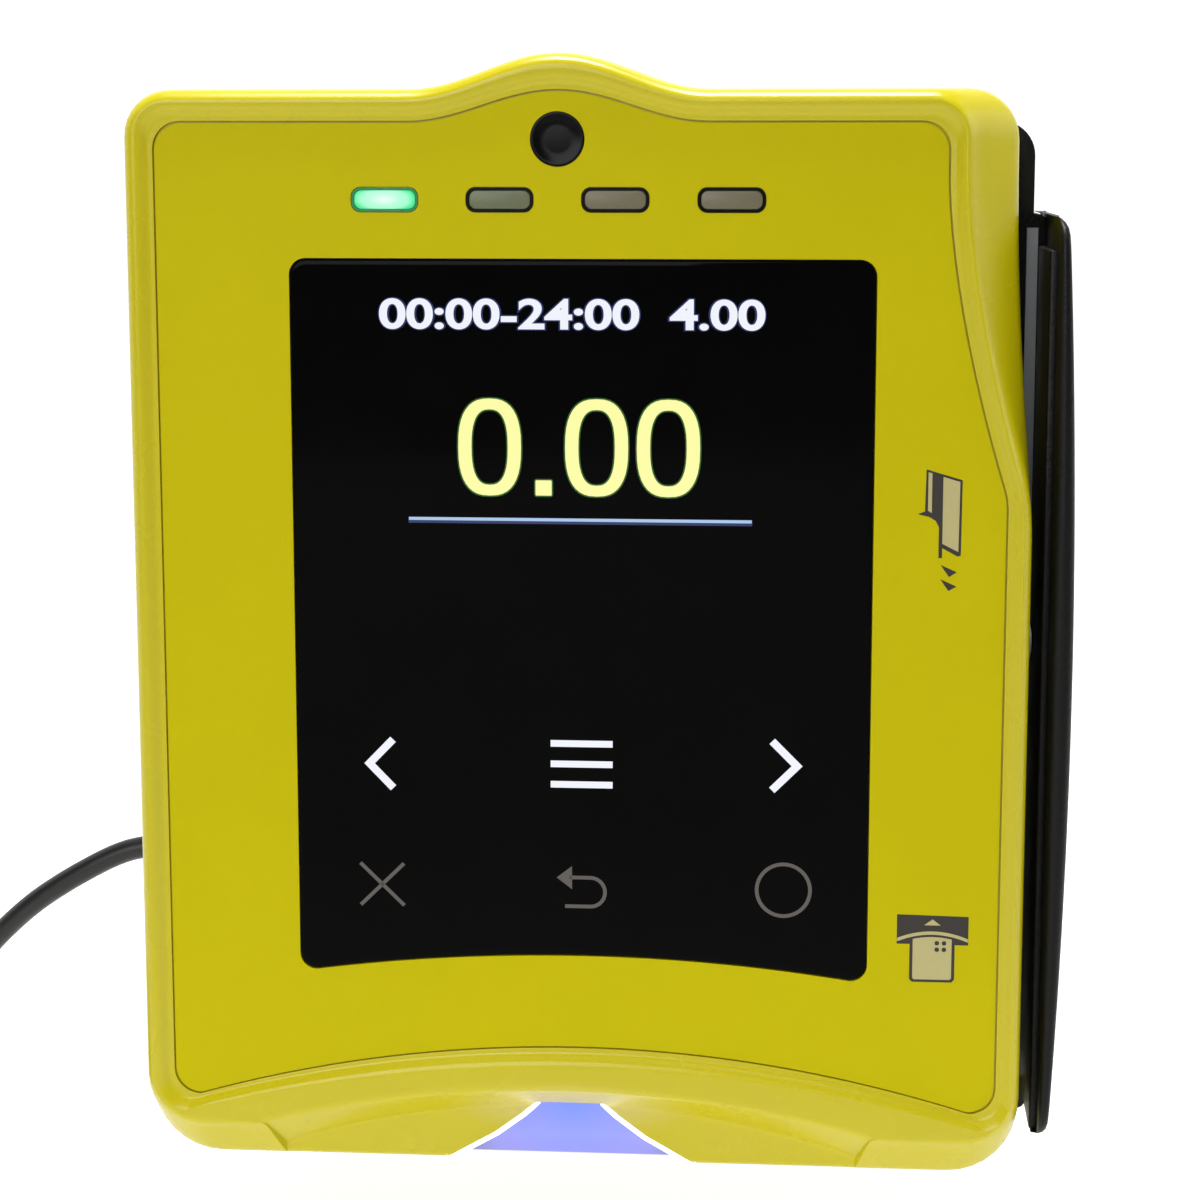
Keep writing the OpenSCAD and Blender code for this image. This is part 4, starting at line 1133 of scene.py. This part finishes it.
class TERMINAL_OT_fasteners(bpy.types.Operator):
    """Builds the mounting studs and every screw"""
    bl_idname = "terminal.fasteners"
    bl_label = "Studs and screws"

    def execute(self, context):
        corners = [(-43.6, 54.4), (41.2, 54.4), (-43.6, -54.6), (43.6, -54.6)]
        repeated("case_screws", screw_part(1.2, 12, 2.8, 1.8), [(x, -24.4, z) for x, z in corners],
                 "steel", 6.28, 3, stands_for=("housing_screws",))
        repeated("rail_fixings", screw_part(1.2, 6, 2.6, 1.7), [(47.4, -19.6, z) for z in (-34, 26)],
                 "steel", 6.28, 5, stands_for=("rail_screws",))
        repeated("board_fixings", screw_part(1.15, 7, 2.5, 1.6),
                 [(x, -36.4, z) for x in (-36.5, 35) for z in (52.5, -42)], "steel", 6.28, 7,
                 stands_for=("board_screws",))
        repeated("reader_fixings", screw_part(0.8, 7, 1.9, 1.2),
                 [(CARD_X + x, -40.2, z) for x in (-33.5, 33.5) for z in (-20, -34)], "steel", 6.28, 9,
                 stands_for=("reader_screws",))
        bm = bmesh.new()
        rows = [(0.0, -3.9), (3.8, -3.9), (4.0, -3.7), (4.0, -2.4), (1.95, -2.4), (1.95, 0.6)]
        for i in range(18):
            rows += [(1.66, 0.9 + 0.7 * i), (2.0, 1.25 + 0.7 * i)]
        rows += [(1.6, 13.6), (1.45, 14.0), (0.0, 14.0)]
        turned(bm, rows, "y", (0, 0, 0), sides=32)
        repeated("studs", bm, [(x, 0, z) for x in (-34, 34) for z in (-42, 42)], "steel",
                 stands_for=("mounting_studs",))
        return {"FINISHED"}


class TERMINAL_OT_inner(bpy.types.Operator):
    """Gives every carried-over part inside the case its finish"""
    bl_idname = "terminal.inner"
    bl_label = "Inner parts"

    def execute(self, context):
        slots = {s["node"]: s["material_slot"] for s in frame["record"]["subparts"]}
        for name, obj in NODES.items():
            obj.data.materials.clear()
            obj.data.materials.append(FINISH[slots[name]])
        return {"FINISHED"}


class TERMINAL_OT_stage(bpy.types.Operator):
    """Sets the pale floor, the backdrop and the soft lights"""
    bl_idname = "terminal.stage"
    bl_label = "Stage and lights"

    def execute(self, context):
        # a floor that curves up into a wall behind
        profile = [(0.0001, 0.0), (0.4, 0.0), (1.6, 0.0)]
        profile += [(1.6 + 0.7 * math.sin(a), 0.7 - 0.7 * math.cos(a))
                    for a in (math.pi / 24 * i for i in range(1, 13))]
        profile.append((2.3, 3.2))
        down = FLOOR_Z * MM - 0.0002
        bm = bmesh.new()
        rows = [[bm.verts.new((r * math.cos(a), r * math.sin(a), down + z))
                 for a in (math.pi / 48 * i for i in range(49))] for r, z in profile]
        for low, high in zip(rows, rows[1:]):
            for left, right in zip(range(48), range(1, 49)):
                bm.faces.new((low[left], high[left], high[right], low[right]))
        front = ((-2.3, 0), (-2.3, -2.5), (2.3, -2.5), (2.3, 0))
        bm.faces.new([bm.verts.new((x, y, down)) for x, y in front])
        mesh = bpy.data.meshes.new("floor")
        bm.to_mesh(mesh)
        bm.free()
        mesh.shade_smooth()
        floor = in_scene("floor", mesh)
        paper = bpy.data.materials.new("paper")
        paper.use_nodes = True
        tree = paper.node_tree
        shader = tree.nodes["Principled BSDF"]
        shader.inputs["Roughness"].default_value = 0.9
        place = add(tree, "ShaderNodeTexCoord").outputs["Object"]
        fibre = add(tree, "ShaderNodeTexNoise", {"Scale": 60.0}, {"Vector": place})
        tone = (*colours().floor, 1)
        paper_tone = mixed(tree, fibre.outputs[0], tone, darker(tone, 0.985))
        tree.links.new(add(tree, "ShaderNodeMix", {0: 0.5, 7: (0, 0, 0, 1)}, {6: paper_tone},
                           data_type="RGBA").outputs[2], shader.inputs["Base Color"])
        shader.inputs["Emission Color"].default_value = tone
        depth = add(tree, "ShaderNodeSeparateXYZ", links={0: place})
        # the wall glows, and the floor in front of the terminal hardly does
        behind = add(tree, "ShaderNodeMapRange", {"From Min": -0.3, "From Max": 0.0, "To Min": 0.12,
                     "To Max": 0.9}, {"Value": depth.outputs[1]}, interpolation_type="SMOOTHSTEP")
        tree.links.new(behind.outputs[0], shader.inputs["Emission Strength"])
        mesh.materials.append(paper)
        for name, place, aim, size, power in (
                ("key", (-0.25, -0.85, 0.3), (0, -0.05, 0), 0.5, 3.1),
                ("top", (0.0, -0.03, 0.7), (0, -0.05, 0), 0.26, 6.5),
                ("right", (0.75, -0.1, 0.3), (0, -0.03, 0), 0.4, 0.8)):
            lamp = bpy.data.lights.new(name, "AREA")
            lamp.shape, lamp.size, lamp.energy = "SQUARE", size, power
            obj = in_scene(name, lamp)
            obj.location = place
            obj.rotation_mode = "QUATERNION"
            obj.rotation_quaternion = (Vector(aim) - Vector(place)).to_track_quat("-Z", "Y")
        world = bpy.data.worlds.new("sky")
        context.scene.world = world
        world.use_nodes = True
        sky = world.node_tree.nodes["Background"]
        sky.inputs["Color"].default_value = (1.0, 1.0, 1.0, 1)
        sky.inputs["Strength"].default_value = 0.2
        context.scene.view_settings.view_transform = "Standard"
        return {"FINISHED"}


OPERATORS = (TERMINAL_OT_camera, TERMINAL_OT_lead, TERMINAL_OT_inner, TERMINAL_OT_shell,
             TERMINAL_OT_film, TERMINAL_OT_screen, TERMINAL_OT_lights, TERMINAL_OT_mouth,
             TERMINAL_OT_rail, TERMINAL_OT_rear, TERMINAL_OT_fasteners, TERMINAL_OT_stage)


class TERMINAL_PT_panel(bpy.types.Panel):
    """Lists the terminal's sizes, colours and pieces"""
    bl_idname = "TERMINAL_PT_panel"
    bl_label = "Terminal"
    bl_space_type = "VIEW_3D"
    bl_region_type = "UI"
    bl_category = "Terminal"

    def draw(self, context):
        for group in (context.scene.terminal_sizes, context.scene.terminal_colours):
            box = self.layout.box()
            for key in group.__annotations__:
                box.prop(group, key)
        for kind in OPERATORS:
            self.layout.operator(kind.bl_idname)


CLASSES = (TerminalSizes, TerminalColours, *OPERATORS, TERMINAL_PT_panel)


def register():
    for kind in CLASSES:
        bpy.utils.register_class(kind)
    bpy.types.Scene.terminal_sizes = bpy.props.PointerProperty(type=TerminalSizes)
    bpy.types.Scene.terminal_colours = bpy.props.PointerProperty(type=TerminalColours)


def unregister():
    del bpy.types.Scene.terminal_sizes
    del bpy.types.Scene.terminal_colours
    for kind in reversed(CLASSES):
        bpy.utils.unregister_class(kind)


def main():
    register()
    for kind in OPERATORS:
        area, name = kind.bl_idname.split(".")
        getattr(getattr(bpy.ops, area), name)()


if __name__ == "__main__":
    main()
